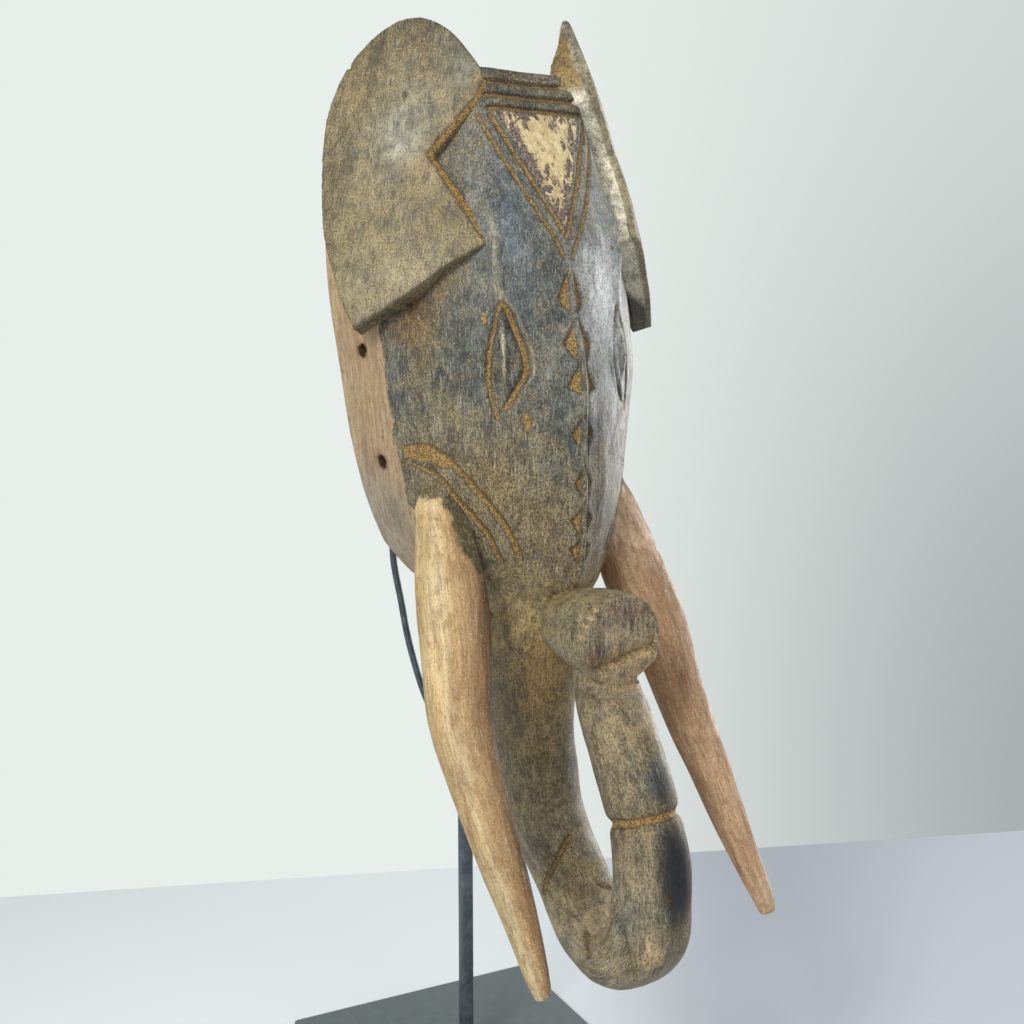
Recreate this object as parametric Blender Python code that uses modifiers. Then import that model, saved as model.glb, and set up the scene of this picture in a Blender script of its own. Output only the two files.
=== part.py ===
"""Carved elephant mask on a steel display stand.

The mask looks along -Y and +Z is up. The origin is under the post, on the surface that the stand
rests on. Lengths below are millimetres; the meshes are built in metres.
The mask is a hollow head with two ear plates, two tusks and a looped trunk. It hangs on a bracket
of bent rod, which turns in the top of the stand's square post.
"""

import math

import bmesh
import bpy
import numpy as np
from mathutils import Matrix, Vector

MM = 0.001
MERGE = 1e-5  # metres, for points that a turned profile shares on its axis
GAP = 0.3  # clearance between pieces that touch on the real object
SIDES = (("right", -1), ("left", 1))  # the mask's own right is at -X

STAND_NODES = ("base_felt", "base_plate", "post", "post_screw")
BRACKET_NODES = (
    "bracket_stem", "bracket_hub", "arm_right", "arm_left", "arm_tip_right", "arm_tip_left"
)
MASK_NODES = ("mask_head", "ear_right", "ear_left", "tusk_right", "tusk_left", "trunk")

# Stand
PLATE_SIDE = 184.0
PLATE_THICK = 7.7
PLATE_CORNER = 3.0
FELT_THICK = 1.5
FELT_INSET = 3.0
FELT_CORNER = 4.0
PLATE_TOP = FELT_THICK + GAP + PLATE_THICK
STAND_TURN_DEG = -7.0  # the mask stands turned a little on its base
POST_SIDE = 8.0
POST_CORNER = 1.4
POST_TOP = 215.0
SCREW_RADIUS = 2.0
SCREW_HEAD_RADIUS = 4.2
SCREW_LENGTH = 18.0
DRIVE_RADIUS = 1.3
DRIVE_DEPTH = 2.0

# Bracket
STEM_RADIUS = 2.5
STEM_DEPTH = 34.0
STEM_PROUD = 4.0
STEM_PLAY = 0.1  # the stem's running fit in the post
HUB_RADIUS = 6.0
HUB_HEIGHT = 14.0
HUB_LIFT = 0.6
ROD_RADIUS = 2.1
TIP_RADIUS = 3.6
TIP_LENGTH = 15.0
TIP_COVER = 2.0  # how far the soft cap runs past the rod's end
TIP_PLAY = 0.6
CUT_PAST = 5.0  # how far a cutter runs past the face that it cuts

# Head shell
WALL = 13.0
HEAD_CLEARANCE = 0.6  # between the head and what is fitted to it
RIM_SLOPE = 0.105  # the back edge leans back towards the top
RIM_HEIGHT_REF = 466.0
RIM_DEPTH_REF = -9.0
HOLE_RADIUS = 3.6
HOLE_HEIGHTS = (484.0, 421.0)
HOLE_FORWARD = (30.5, 31.5)  # from the back edge
HOLE_REACH = (60.0, 125.0)  # how far from the middle each hole's cutter starts and ends
HOLLOW_PAST = 30.0  # how far the hollow's cutter runs out behind the back edge
FORM_PAST = 20.0
SECTION_STEPS = 12  # sections worked out between one of HEAD_SECTIONS and the next
FORM_HEIGHTS = (
    640, 628, 615, 600, 585, 567, 550, 532, 515, 495, 475, 455, 435, 417, 400, 385, 370, 359, 350,
    343, 337,
)
HOLLOW_HEIGHTS = (622, 606, 588, 568, 545, 520, 495, 470, 445, 420, 400, 384, 370, 361)

# Half sections of the head's outside, one for each height: seven points from the ridge line round
# to the back edge, as (across, depth). The last depth is that of the back edge.
HEAD_SECTIONS = (
    (640.0, ((0, -71), (16, -72), (31, -72), (45, -56), (58, -38), (69, -20), (75, 0))),
    (615.0, ((0, -84), (17, -83.5), (33, -79), (47, -61), (61, -42), (75, -21), (83, 0))),
    (585.0, ((0, -95.5), (18, -94.5), (37, -88), (51, -68), (66, -46), (81, -23), (90, 0))),
    (550.0, ((0, -108), (20, -106.5), (41, -99), (56, -82), (72, -60), (86, -34), (95, 0))),
    (515.0, ((0, -114), (20, -111.5), (42, -102), (60, -87), (77, -66), (89, -44), (95, 0))),
    (475.0, ((0, -125), (20, -120), (41, -109), (60, -92), (77, -72), (88, -56), (91, 0))),
    (435.0, ((0, -126.5), (20, -121), (40, -109), (58, -92), (74, -72), (83, -57), (87, 0))),
    (400.0, ((0, -127), (19, -121), (38, -108), (54, -91), (68, -74), (77, -60), (80, 0))),
    (370.0, ((0, -125), (17, -118), (33, -106), (46, -93), (57, -79), (65, -65), (69, 0))),
    (350.0, ((0, -122), (15, -113), (27, -102), (37, -90), (44, -78), (50, -64), (52, 0))),
    (337.0, ((0, -112), (10, -106), (18, -97), (24, -87), (28, -77), (30, -64), (30, 0))),
)

# Trunk: stations down the back limb, round the bend and up the front limb, then those of the
# tip, which bends back to the face. Each is (depth, height, half width across, half thickness).
TRUNK_STATIONS = (
    (-88, 352, 37, 26),
    (-80, 322, 33, 26),
    (-76, 288, 27, 25.5),
    (-77, 257, 24, 24),
    (-83, 232, 23, 22.5),
    (-92, 207, 22.5, 21.5),
    (-114, 182, 21.5, 18.5),
    (-139, 156, 22.5, 16.5),
    (-165, 148.5, 23.5, 17),
    (-186, 166, 22.5, 20.5),
    (-191, 194, 21, 20),
    (-188, 219, 20, 19),
    (-180, 242, 19.5, 18.5),
    (-168, 266, 19.5, 18.5),
    (-156, 286, 19.5, 17.5),
    (-148, 301, 18, 14.5),
    (-144, 313, 16, 12),
)
TIP_STATIONS = (
    (-160, 327, 19, 22),
    (-153, 328, 23, 26.5),
    (-134, 331, 23.5, 27.5),
    (-104, 333, 21, 24),
)

# Tusks: stations from inside the cheek to the blunt tip, as (across, depth, height, radius).
# They are carved by hand and aren't quite alike, and neither are the ears.
TUSK_STATIONS = {
    "right": (
        (61, -59, 417, 8),
        (67, -74, 395, 15.5),
        (70, -95, 357, 21.5),
        (76, -112, 325, 20.5),
        (81, -126, 290, 17.5),
        (82, -141, 262, 15.2),
        (82, -155, 241, 13.6),
        (81, -177, 206, 10.5),
        (80, -197, 172, 6.4),
        (80, -202, 163, 4.6),
    ),
    "left": (
        (58, -58, 411, 8),
        (63, -72, 388, 14),
        (65, -89, 352, 19),
        (70, -107, 319, 18),
        (74, -122, 285, 15.5),
        (76, -137, 257, 13.6),
        (77, -151, 237, 12.1),
        (78, -173, 204, 9.4),
        (80, -193, 174, 6.2),
        (80, -198, 166, 4.6),
    ),
}
TENON_RADIUS = 7.0
TENON_LINE = ((58, -69, 395), (70, -90, 372))

# Ear plate: its lower corner, the way it runs back and out, and the way it runs up, with the
# outline as (along, up) from the lower corner.
EAR_CORNER = (105, -56, 496)
EAR_ALONG = (0.616, 0.788, 0.0)
EAR_UP = (-0.236, 0.184, 0.954)
EAR_THICK = 13.0
EAR_TOP_SHARE = 0.25  # of the thickness, left at the top
EAR_TAPER_START = 150.0
EAR_HEIGHT = 185.0
EAR_MIDDLE = -20.0  # along, where the plate bows out most
EAR_HALF_RUN = 54.0
EAR_BOW_LEVEL = 0.35  # share of the sag by which the middle stands proud
EAR_SAG = {"right": 7.0, "left": 4.5}
EAR_BELLY = {"right": 0.0, "left": 4.5}  # how far the plate swells outwards at half its height
EAR_TURN_DEG = {"right": 0.0, "left": 6.0}  # swung back about the upright through the corner
EAR_RISE = {"right": 0.98, "left": 1.032}  # stretch of the height
EAR_FOLDS = (-55, -40, -25, -10, 5, 20)  # along, the lines where the flat plate is bent
EAR_OUTLINE = (
    (0, 0), (13, 23), (27, 58), (34, 100), (34, 130), (24, 158), (4, 178), (-17, 185), (-38, 176),
    (-54, 158), (-61, 146), (-58, 134), (-35, 102), (-74, 54), (-52, 38), (-26, 17),
)

# Bracket arm, from the hub out behind the lower rim and up inside the head.
ARM_ROUTE = (
    (6.6, 0, 229), (19, -2, 241), (33, -5, 266), (45, -8, 300), (52, -10, 330), (57, -10, 358),
    (58, -14, 384), (56, -26, 420), (51, -40, 470), (44, -53, 525), (37, -61, 560), (33, -65, 580),
)


def scene_cleared():
    for obj in list(bpy.data.objects):
        bpy.data.objects.remove(obj, do_unlink=True)


def collection(name):
    made = bpy.data.collections.new(name)
    bpy.context.scene.collection.children.link(made)
    return made


def material(name, colour, roughness, metallic=0.0):
    made = bpy.data.materials.new(name)
    made.use_nodes = True
    shader = made.node_tree.nodes["Principled BSDF"]
    shader.inputs["Base Color"].default_value = (*colour, 1.0)
    shader.inputs["Roughness"].default_value = roughness
    shader.inputs["Metallic"].default_value = metallic
    return made


def object_of(bm, name, home, look=None):
    """Makes an object of a bmesh that is in metres and frees the bmesh."""
    bmesh.ops.recalc_face_normals(bm, faces=bm.faces)
    mesh = bpy.data.meshes.new(name)
    bm.to_mesh(mesh)
    bm.free()
    obj = bpy.data.objects.new(name, mesh)
    home.objects.link(obj)
    if look:
        mesh.materials.append(look)
        mesh.shade_smooth()
        mesh.set_sharp_from_angle(angle=math.radians(40))
    else:
        obj.hide_render = True
        obj.display_type = "WIRE"
    return obj


def boolean(obj, cutter, operation="DIFFERENCE"):
    """Joins or cuts one object with another at once, so that later cuts see the result."""
    modifier = obj.modifiers.new(operation.title(), "BOOLEAN")
    modifier.operation = operation
    modifier.object = cutter
    graph = bpy.context.evaluated_depsgraph_get()
    cut = bpy.data.meshes.new_from_object(obj.evaluated_get(graph))
    obj.modifiers.remove(modifier)
    obj.data = cut


def through(points, count):
    """Points at even steps of a Catmull-Rom curve through the given points."""
    points = np.asarray(points, float)
    ends = (2 * points[0] - points[1], 2 * points[-1] - points[-2])
    padded = np.vstack([ends[0], points, ends[1]])
    found = []
    for place in np.linspace(0, len(points) - 1, count):
        span = min(int(place), len(points) - 2)
        t = place - span
        a, b, c, d = padded[span : span + 4]
        square = 2 * a - 5 * b + 4 * c - d
        cube = 3 * b - a - 3 * c + d
        found.append(0.5 * (2 * b + (c - a) * t + square * t**2 + cube * t**3))
    return np.array(found)


def loft(rings):
    """A closed body through rings of points in millimetres, with a flat cap at each end."""
    bm = bmesh.new()
    rows = [[bm.verts.new(Vector(point) * MM) for point in ring] for ring in rings]
    around = len(rows[0])
    for upper, lower in zip(rows, rows[1:]):
        for i in range(around):
            j = (i + 1) % around
            bm.faces.new((upper[i], upper[j], lower[j], lower[i]))
    bm.faces.new(rows[0])
    bm.faces.new(rows[-1])
    return bm


def sweep(stations, sides, pinch=2.0):
    """A body along a path of (centre, half width across, half thickness), square to the path."""
    centres = np.array([row[0] for row in stations], float)
    rings = []
    for (centre, wide, deep), ahead in zip(stations, np.gradient(centres, axis=0)):
        way = Vector(ahead).normalized()
        across = (Vector((1, 0, 0)) - way * way.x).normalized()
        out = way.cross(across)
        ring = []
        for i in range(sides):
            angle = 2 * math.pi * i / sides
            cos, sin = math.cos(angle), math.sin(angle)
            reach = (abs(cos) ** pinch + abs(sin) ** pinch) ** (-1 / pinch)
            ring.append(Vector(centre) + across * (wide * reach * cos) + out * (deep * reach * sin))
        rings.append(ring)
    return loft(rings)


def rod(radius, start, end, sides=16):
    """A straight round bar between two points, as a bmesh in metres."""
    start, end = Vector(start) * MM, Vector(end) * MM
    way = end - start
    turn = way.to_track_quat("Z", "Y").to_matrix().to_4x4()
    bm = bmesh.new()
    bmesh.ops.create_cone(
        bm, cap_ends=True, segments=sides, radius1=radius * MM, radius2=radius * MM,
        depth=way.length, matrix=Matrix.Translation((start + end) / 2) @ turn,
    )
    return bm


def block(size, centre, corner):
    """A box with its upright edges rounded, as a bmesh in metres."""
    bm = bmesh.new()
    place = Matrix.Translation(Vector(centre) * MM) @ Matrix.Diagonal((*size, 1))
    bmesh.ops.create_cube(bm, size=MM, matrix=place)
    upright = [e for e in bm.edges if abs((e.verts[0].co - e.verts[1].co).z) > 0.5 * size[2] * MM]
    bmesh.ops.bevel(
        bm, geom=upright, offset=corner * MM, segments=3, profile=0.5, affect="EDGES"
    )
    return bm


def turned(profile, name, home, look=None, sides=16):
    """An object turned about Z from (radius, height) points that run down its outer side."""
    bm = bmesh.new()
    row = [bm.verts.new(Vector((radius, 0, height)) * MM) for radius, height in profile]
    for upper, lower in zip(row, row[1:]):
        bm.edges.new((upper, lower))
    obj = object_of(bm, name, home, look)
    screw = obj.modifiers.new("Screw", "SCREW")
    screw.steps = sides
    screw.render_steps = sides
    screw.use_merge_vertices = True
    screw.merge_threshold = MERGE
    return obj


def wire(route, radius, name, home, look):
    """A bent round rod through points in millimetres, as a curve object."""
    curve = bpy.data.curves.new(name, "CURVE")
    curve.dimensions = "3D"
    curve.bevel_depth = radius * MM
    curve.bevel_resolution = 2
    curve.use_fill_caps = True
    curve.materials.append(look)
    spline = curve.splines.new("POLY")
    spline.points.add(len(route) - 1)
    for point, place in zip(spline.points, route):
        point.co = (*(Vector(place) * MM), 1.0)
    obj = bpy.data.objects.new(name, curve)
    home.objects.link(obj)
    return obj


def mirrored(point, side):
    return Vector((side * point[0], point[1], point[2]))


def rim_depth(height):
    return RIM_DEPTH_REF + RIM_SLOPE * (height - RIM_HEIGHT_REF)


def head_half(height, count):
    """Points of the head's outer half section at a height, from the ridge to the back edge."""
    heights = [row[0] for row in HEAD_SECTIONS]
    table = np.array([row[1] for row in HEAD_SECTIONS], float)
    place = np.interp(-height, [-value for value in heights], range(len(heights)))
    fine = through(table.reshape(len(heights), -1), SECTION_STEPS * (len(heights) - 1) + 1)
    section = fine[int(round(SECTION_STEPS * place))].reshape(-1, 2)
    section[-1, 1] = rim_depth(height)
    return through(section, count)


def head_rings(heights, count, grow=0.0, past=0.0):
    """Rings of the head's outline, moved outwards by grow and run straight on past the back edge."""
    rings = []
    for height in heights:
        half = head_half(height, count)
        step = np.gradient(half, axis=0)
        normal = np.stack([-step[:, 1], step[:, 0]], axis=1)
        normal /= np.linalg.norm(normal, axis=1)[:, None]
        normal[0] = (0, -1)
        inward = normal[:, :1] * half[:, :1] - normal[:, 1:] < 0
        half = half + grow * np.where(inward, -normal, normal)
        half[0, 0] = 0
        half[-1, 1] = rim_depth(height)
        if past:
            half = np.vstack([half, half[-1] + (0, past)])
        half[:, 0] = np.maximum(half[:, 0], 0)
        right = [(x, y, height) for x, y in half]
        left = [(-x, y, height) for x, y in half[:0:-1]]
        rings.append(right + left)
    return rings


def head_solid(name, home, look=None, grow=0.0, past=0.0):
    """The head's outer form. Grown and run on past the back edge, it cuts what fits on the head."""
    rings = head_rings(FORM_HEIGHTS, 15, grow, past)
    rings[0] = [(x, y, z + grow) for x, y, z in rings[0]]
    rings[-1] = [(x, y, z - grow) for x, y, z in rings[-1]]
    return object_of(loft(rings), name, home, look)


def make_head(parts, cutters, wood):
    """The bowl: its hollow is open at the back, with a cord hole and a tusk socket at each side."""
    head = head_solid("mask_head", parts, look=wood)
    hollow = loft(head_rings(HOLLOW_HEIGHTS, 12, -WALL, HOLLOW_PAST))
    boolean(head, object_of(hollow, "hollow_cutter", cutters))
    for _, side in SIDES:
        for height, forward in zip(HOLE_HEIGHTS, HOLE_FORWARD):
            depth = rim_depth(height) - forward
            ends = [(side * reach, depth, height) for reach in HOLE_REACH]
            boolean(head, object_of(rod(HOLE_RADIUS, *ends, 12), "rim_hole_cutter", cutters))
        ends = [mirrored(point, side) for point in TENON_LINE]
        socket = rod(TENON_RADIUS + GAP, *ends)
        boolean(head, object_of(socket, "tusk_socket_cutter", cutters))
    return head


def ear_plate(hand):
    """The flat plate, cut across at its folds, in (along, up, out) from the lower corner."""
    bm = bmesh.new()
    face = bm.faces.new([bm.verts.new(Vector((s, t, 0)) * MM) for s, t in EAR_OUTLINE])
    raised = bmesh.ops.extrude_face_region(bm, geom=[face])["geom"]
    for vert in (item for item in raised if isinstance(item, bmesh.types.BMVert)):
        taper = (vert.co.y / MM - EAR_TAPER_START) / (EAR_HEIGHT - EAR_TAPER_START)
        vert.co.z -= EAR_THICK * (1 - (1 - EAR_TOP_SHARE) * max(0.0, taper)) * MM
    for fold in EAR_FOLDS:
        everything = bm.verts[:] + bm.edges[:] + bm.faces[:]
        bmesh.ops.bisect_plane(
            bm, geom=everything, plane_co=(fold * MM, 0, 0), plane_no=(1, 0, 0)
        )
    for vert in bm.verts:
        along, up = vert.co.x / MM, vert.co.y / MM
        bow = EAR_BOW_LEVEL - ((along - EAR_MIDDLE) / EAR_HALF_RUN) ** 2
        belly = math.sin(math.pi * up / EAR_HEIGHT) ** 2
        vert.co.z += (EAR_SAG[hand] * bow + EAR_BELLY[hand] * belly) * MM
        vert.co.y *= EAR_RISE[hand]
    return bm


def make_ear(hand, side, parts, head_form, wood):
    turn = Matrix.Rotation(math.radians(EAR_TURN_DEG[hand]), 3, "Z")
    along = (turn @ Vector(EAR_ALONG)).normalized()
    up = turn @ Vector(EAR_UP)
    up = (up - along * up.dot(along)).normalized()
    out = along.cross(up)
    corner = Vector(EAR_CORNER) * MM
    bm = ear_plate(hand)
    for vert in bm.verts:
        spot = corner + along * vert.co.x + up * vert.co.y + out * vert.co.z
        vert.co = mirrored(spot, side)
    ear = object_of(bm, "ear_" + hand, parts, wood)
    boolean(ear, head_form)


def make_tusk(hand, side, parts, cutters, head_form, bare):
    """A curved, tapering tusk that ends against the cheek, with a tenon for the head's socket."""
    path = through(TUSK_STATIONS[hand], 24)
    stations = [((side * x, y, z), radius, radius) for x, y, z, radius in path]
    tusk = object_of(sweep(stations, 14), "tusk_" + hand, parts, bare)
    boolean(tusk, head_form)
    inner, outer = [mirrored(point, side) for point in TENON_LINE]
    start = inner + (outer - inner).normalized() * (GAP + 0.2)
    tenon = object_of(rod(TENON_RADIUS, start, outer), "tenon_form", cutters)
    boolean(tusk, tenon, "UNION")


def make_trunk(parts, cutters, head_form, wood):
    """The trunk hangs from the chin, loops forwards and up, and its tip turns back to the chin."""
    forms = []
    for rows, count in ((TRUNK_STATIONS, 40), (TIP_STATIONS, 12)):
        path = through(rows, count)
        forms.append(sweep([((0, y, z), wide, deep) for y, z, wide, deep in path], 16, 2.4))
    trunk = object_of(forms[0], "trunk", parts, wood)
    boolean(trunk, object_of(forms[1], "trunk_tip_form", cutters), "UNION")
    boolean(trunk, head_form)


def make_base(parts, cutters, steel, cloth):
    """Felt and plate, with a countersunk hole for the post's screw."""
    plate_low = FELT_THICK + GAP
    middle = plate_low + PLATE_THICK / 2
    felt_side = PLATE_SIDE - 2 * FELT_INSET
    felt = block((felt_side, felt_side, FELT_THICK), (0, 0, FELT_THICK / 2), FELT_CORNER)
    object_of(felt, "base_felt", parts, cloth)
    plate = block((PLATE_SIDE, PLATE_SIDE, PLATE_THICK), (0, 0, middle), PLATE_CORNER)
    plate = object_of(plate, "base_plate", parts, steel)
    wide, narrow = SCREW_HEAD_RADIUS + GAP, SCREW_RADIUS + GAP
    profile = (
        (0, PLATE_TOP + CUT_PAST), (narrow, PLATE_TOP + CUT_PAST),
        (narrow, plate_low + wide - narrow), (wide, plate_low),
        (wide, plate_low - CUT_PAST), (0, plate_low - CUT_PAST),
    )
    boolean(plate, turned(profile, "screw_hole_cutter", cutters))


def make_post(parts, cutters, steel, bright):
    """Square post with a bore for the bracket's stem, and the screw that holds it from below."""
    foot = PLATE_TOP + GAP
    post = block((POST_SIDE, POST_SIDE, POST_TOP - foot), (0, 0, (foot + POST_TOP) / 2), POST_CORNER)
    post = object_of(post, "post", parts, steel)
    bore_low = POST_TOP - STEM_DEPTH - GAP
    bore = rod(STEM_RADIUS + STEM_PLAY, (0, 0, bore_low), (0, 0, POST_TOP + CUT_PAST))
    boolean(post, object_of(bore, "stem_bore_cutter", cutters))
    face = FELT_THICK + GAP
    tip = face + SCREW_LENGTH
    tapped = rod(SCREW_RADIUS + GAP, (0, 0, foot - CUT_PAST), (0, 0, tip + 1), 12)
    boolean(post, object_of(tapped, "tapped_hole_cutter", cutters))
    neck = face + SCREW_HEAD_RADIUS - SCREW_RADIUS
    profile = (
        (0, tip), (SCREW_RADIUS, tip), (SCREW_RADIUS, neck), (SCREW_HEAD_RADIUS, face), (0, face)
    )
    screw = turned(profile, "post_screw", parts, bright)
    drive = rod(DRIVE_RADIUS, (0, 0, face - CUT_PAST), (0, 0, face + DRIVE_DEPTH), 6)
    drive = object_of(drive, "hex_drive_cutter", cutters)
    socket = screw.modifiers.new("Hex", "BOOLEAN")
    socket.object = drive


def make_bracket(parts, cutters, steel, vinyl):
    """Stem and hub, which turn in the post, and two bent arms whose capped tips carry the mask."""
    hub_low = POST_TOP + HUB_LIFT
    hub_top = hub_low + HUB_HEIGHT
    stem = rod(STEM_RADIUS, (0, 0, POST_TOP - STEM_DEPTH), (0, 0, hub_top + STEM_PROUD))
    object_of(stem, "bracket_stem", parts, steel)
    hub = rod(HUB_RADIUS, (0, 0, hub_low), (0, 0, hub_top), 20)
    hub = object_of(hub, "bracket_hub", parts, steel)
    eye = rod(STEM_RADIUS + GAP, (0, 0, hub_low - CUT_PAST), (0, 0, hub_top + CUT_PAST))
    boolean(hub, object_of(eye, "hub_bore_cutter", cutters))
    for hand, side in SIDES:
        route = [mirrored(point, side) for point in through(ARM_ROUTE, 40)]
        wire(route, ROD_RADIUS, "arm_" + hand, parts, steel)
        way = (route[-1] - route[-3]).normalized()
        end = route[-1] + way * TIP_COVER
        start = end - way * TIP_LENGTH
        cap = object_of(rod(TIP_RADIUS, start, end, 14), "arm_tip_" + hand, parts, vinyl)
        pocket = rod(ROD_RADIUS + TIP_PLAY, start - way * CUT_PAST, route[-1] + way * GAP, 14)
        boolean(cap, object_of(pocket, "tip_pocket_cutter", cutters))


def hang_on(names, pivot_name, height, home, turn_deg=0.0):
    """Parents objects to an empty on the body's axis. A turn carries them round with it."""
    pivot = bpy.data.objects.new(pivot_name, None)
    home.objects.link(pivot)
    pivot.location.z = height * MM
    pivot.rotation_euler.z = math.radians(turn_deg)
    for name in names:
        obj = bpy.data.objects[name]
        obj.parent = pivot
        obj.matrix_parent_inverse = Matrix.Translation((0, 0, -height * MM))


def main():
    scene_cleared()
    parts = collection("elephant_mask_on_stand")
    cutters = collection("cutters")
    painted = material("dark_painted_wood", (0.115, 0.105, 0.078), 0.72)
    bare = material("bare_tan_wood", (0.42, 0.25, 0.13), 0.7)
    steel = material("black_steel", (0.075, 0.09, 0.1), 0.5, 0.4)
    bright = material("zinc_screw", (0.55, 0.55, 0.53), 0.35, 1.0)
    cloth = material("black_felt", (0.03, 0.03, 0.032), 0.95)
    vinyl = material("black_vinyl", (0.02, 0.02, 0.02), 0.4)
    make_head(parts, cutters, painted)
    head_form = head_solid("head_form_cutter", cutters, grow=HEAD_CLEARANCE, past=FORM_PAST)
    make_trunk(parts, cutters, head_form, painted)
    for hand, side in SIDES:
        make_ear(hand, side, parts, head_form, painted)
        make_tusk(hand, side, parts, cutters, head_form, bare)
    make_base(parts, cutters, steel, cloth)
    make_post(parts, cutters, steel, bright)
    make_bracket(parts, cutters, steel, vinyl)
    hang_on(STAND_NODES, "stand_turn", 0.0, parts, STAND_TURN_DEG)
    hang_on(BRACKET_NODES, "bracket_swivel", POST_TOP, parts)
    hang_on(MASK_NODES, "mask_lift_off", POST_TOP, parts)


main()
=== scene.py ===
"""The carved elephant mask on its display stand: the fine surfaces, finishes, light and camera.

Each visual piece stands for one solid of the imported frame. Lengths in the tables are
millimetres in the frame's own axes: the mask looks along -Y, +Z is up, its own right is at -X.
"""

import math

import bmesh
import bpy
import numpy as np
from mathutils import Matrix, Vector
from mathutils.bvhtree import BVHTree


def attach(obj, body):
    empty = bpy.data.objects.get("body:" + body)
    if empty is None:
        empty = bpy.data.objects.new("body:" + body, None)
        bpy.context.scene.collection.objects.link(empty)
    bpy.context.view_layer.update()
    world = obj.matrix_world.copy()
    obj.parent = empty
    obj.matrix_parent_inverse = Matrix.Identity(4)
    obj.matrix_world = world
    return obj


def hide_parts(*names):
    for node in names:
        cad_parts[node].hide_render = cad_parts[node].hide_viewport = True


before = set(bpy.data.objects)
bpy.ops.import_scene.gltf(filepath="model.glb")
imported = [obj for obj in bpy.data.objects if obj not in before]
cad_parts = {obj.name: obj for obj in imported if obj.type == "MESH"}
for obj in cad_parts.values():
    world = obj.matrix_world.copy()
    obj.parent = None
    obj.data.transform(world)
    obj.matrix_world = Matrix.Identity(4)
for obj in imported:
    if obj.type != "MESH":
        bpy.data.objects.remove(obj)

MM = 0.001
FAR = 60.0  # mm, a distance that stands for "nowhere near"

# ---------------------------------------------------------------- head form
RIM_SLOPE = 0.105
RIM_HEIGHT_REF = 466.0
RIM_DEPTH_REF = -9.0
HEAD_SECTIONS = (
    (640.0, ((0, -71), (16, -72), (31, -72), (45, -56), (58, -38), (69, -20), (75, 0))),
    (615.0, ((0, -84), (17, -83.5), (33, -79), (47, -61), (61, -42), (75, -21), (83, 0))),
    (585.0, ((0, -95.5), (18, -94.5), (37, -88), (51, -68), (66, -46), (81, -23), (90, 0))),
    (550.0, ((0, -108), (20, -106.5), (41, -99), (56, -82), (72, -60), (86, -34), (95, 0))),
    (515.0, ((0, -114), (20, -111.5), (42, -102), (60, -87), (77, -66), (89, -44), (95, 0))),
    (475.0, ((0, -125), (20, -120), (41, -109), (60, -92), (77, -72), (88, -56), (91, 0))),
    (435.0, ((0, -126.5), (20, -121), (40, -109), (58, -92), (74, -72), (83, -57), (87, 0))),
    (400.0, ((0, -127), (19, -121), (38, -108), (54, -91), (68, -74), (77, -60), (80, 0))),
    (370.0, ((0, -125), (17, -118), (33, -106), (46, -93), (57, -79), (65, -65), (69, 0))),
    (350.0, ((0, -122), (15, -113), (27, -102), (37, -90), (44, -78), (50, -64), (52, 0))),
    (337.0, ((0, -112), (10, -106), (18, -97), (24, -87), (28, -77), (30, -64), (30, 0))),
)
HEAD_TOP, HEAD_LOW = 640.0, 337.0
WALL = 13.0
HOLLOW_TOP, HOLLOW_LOW = 622.0, 361.0
HOLE_RADIUS = 3.6
RIM_HOLES = ((484.0, -37.6), (421.0, -45.2))  # height and depth of each cord hole
FACE_COLUMNS = 108  # in each half, from the ridge to the corner of the face
WALL_COLUMNS = 16
SECTION_STEPS = 240
CORNER_STEP = 200  # the corner of the face, counted in those steps
CAP_ROWS = 7  # rows that close the head's outer form at each end
HOLLOW_CENTRE = (0, -20)  # across and depth of a place inside the hollow
ROUND_RIM = 2.2
ROUND_INNER = 1.6

# Carving on the face, as (across, height) on the mask's right. Most of it is mirrored.
BANDS = ((632.5, 36.0), (624.7, 36.0), (617.6, 33.0))  # height, half length
TRIANGLE_INNER = ((-31.5, 613.0), (-16.0, 578.5), (0.0, 546.5))
TRIANGLE_OUTER = ((-37.0, 612.0), (-22.5, 573.0), (-3.0, 536.0))
KAOLIN_CORNERS = ((-27.5, 615.5), (27.5, 615.5), (0.0, 550.0))
RIB_TOP, RIB_LOW = 541.0, 356.0
NOTCHES = (  # top, widest and bottom heights, half width
    (527, 513, 505, 10.5), (500, 489, 479, 11.0), (477, 464, 460, 11.5), (448, 438.5, 430, 8.5),
    (420, 411, 403, 6.5), (398.5, 391, 382, 8.5), (380, 375, 365, 8.5),
)
EYE_OUTER_ARC = ((-41.5, 508), (-44.5, 496), (-47, 485.5), (-48.3, 472), (-47.3, 460), (-44, 448))
EYE_INNER_ARC = (
    (-41, 514), (-37, 506.5), (-34, 498), (-31.5, 489), (-30, 480), (-30.2, 473), (-34, 465),
    (-38, 457), (-43, 449),
)
EYE_CREST = ((-40.4, 505), (-41, 485), (-41.8, 464))
BROW_CREASE = ((-39, 580), (-41, 560), (-42, 545), (-41.7, 530), (-40.5, 512))
CHEEK_OUTER = (
    (-77, 431), (-70.5, 431), (-64, 425.5), (-57, 416), (-50.5, 406), (-43, 395), (-36, 382.5),
    (-31, 370), (-29.5, 356), (-29, 342),
)
CHEEK_INNER = (
    (-76, 421), (-66.5, 414.5), (-57, 400), (-47, 385.5), (-39, 369), (-33.5, 355), (-31, 342),
)

CHEEK_WEDGE = ((-79, 431), (-69, 430), (-59, 419), (-67, 421), (-79, 425))  # clockwise

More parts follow.
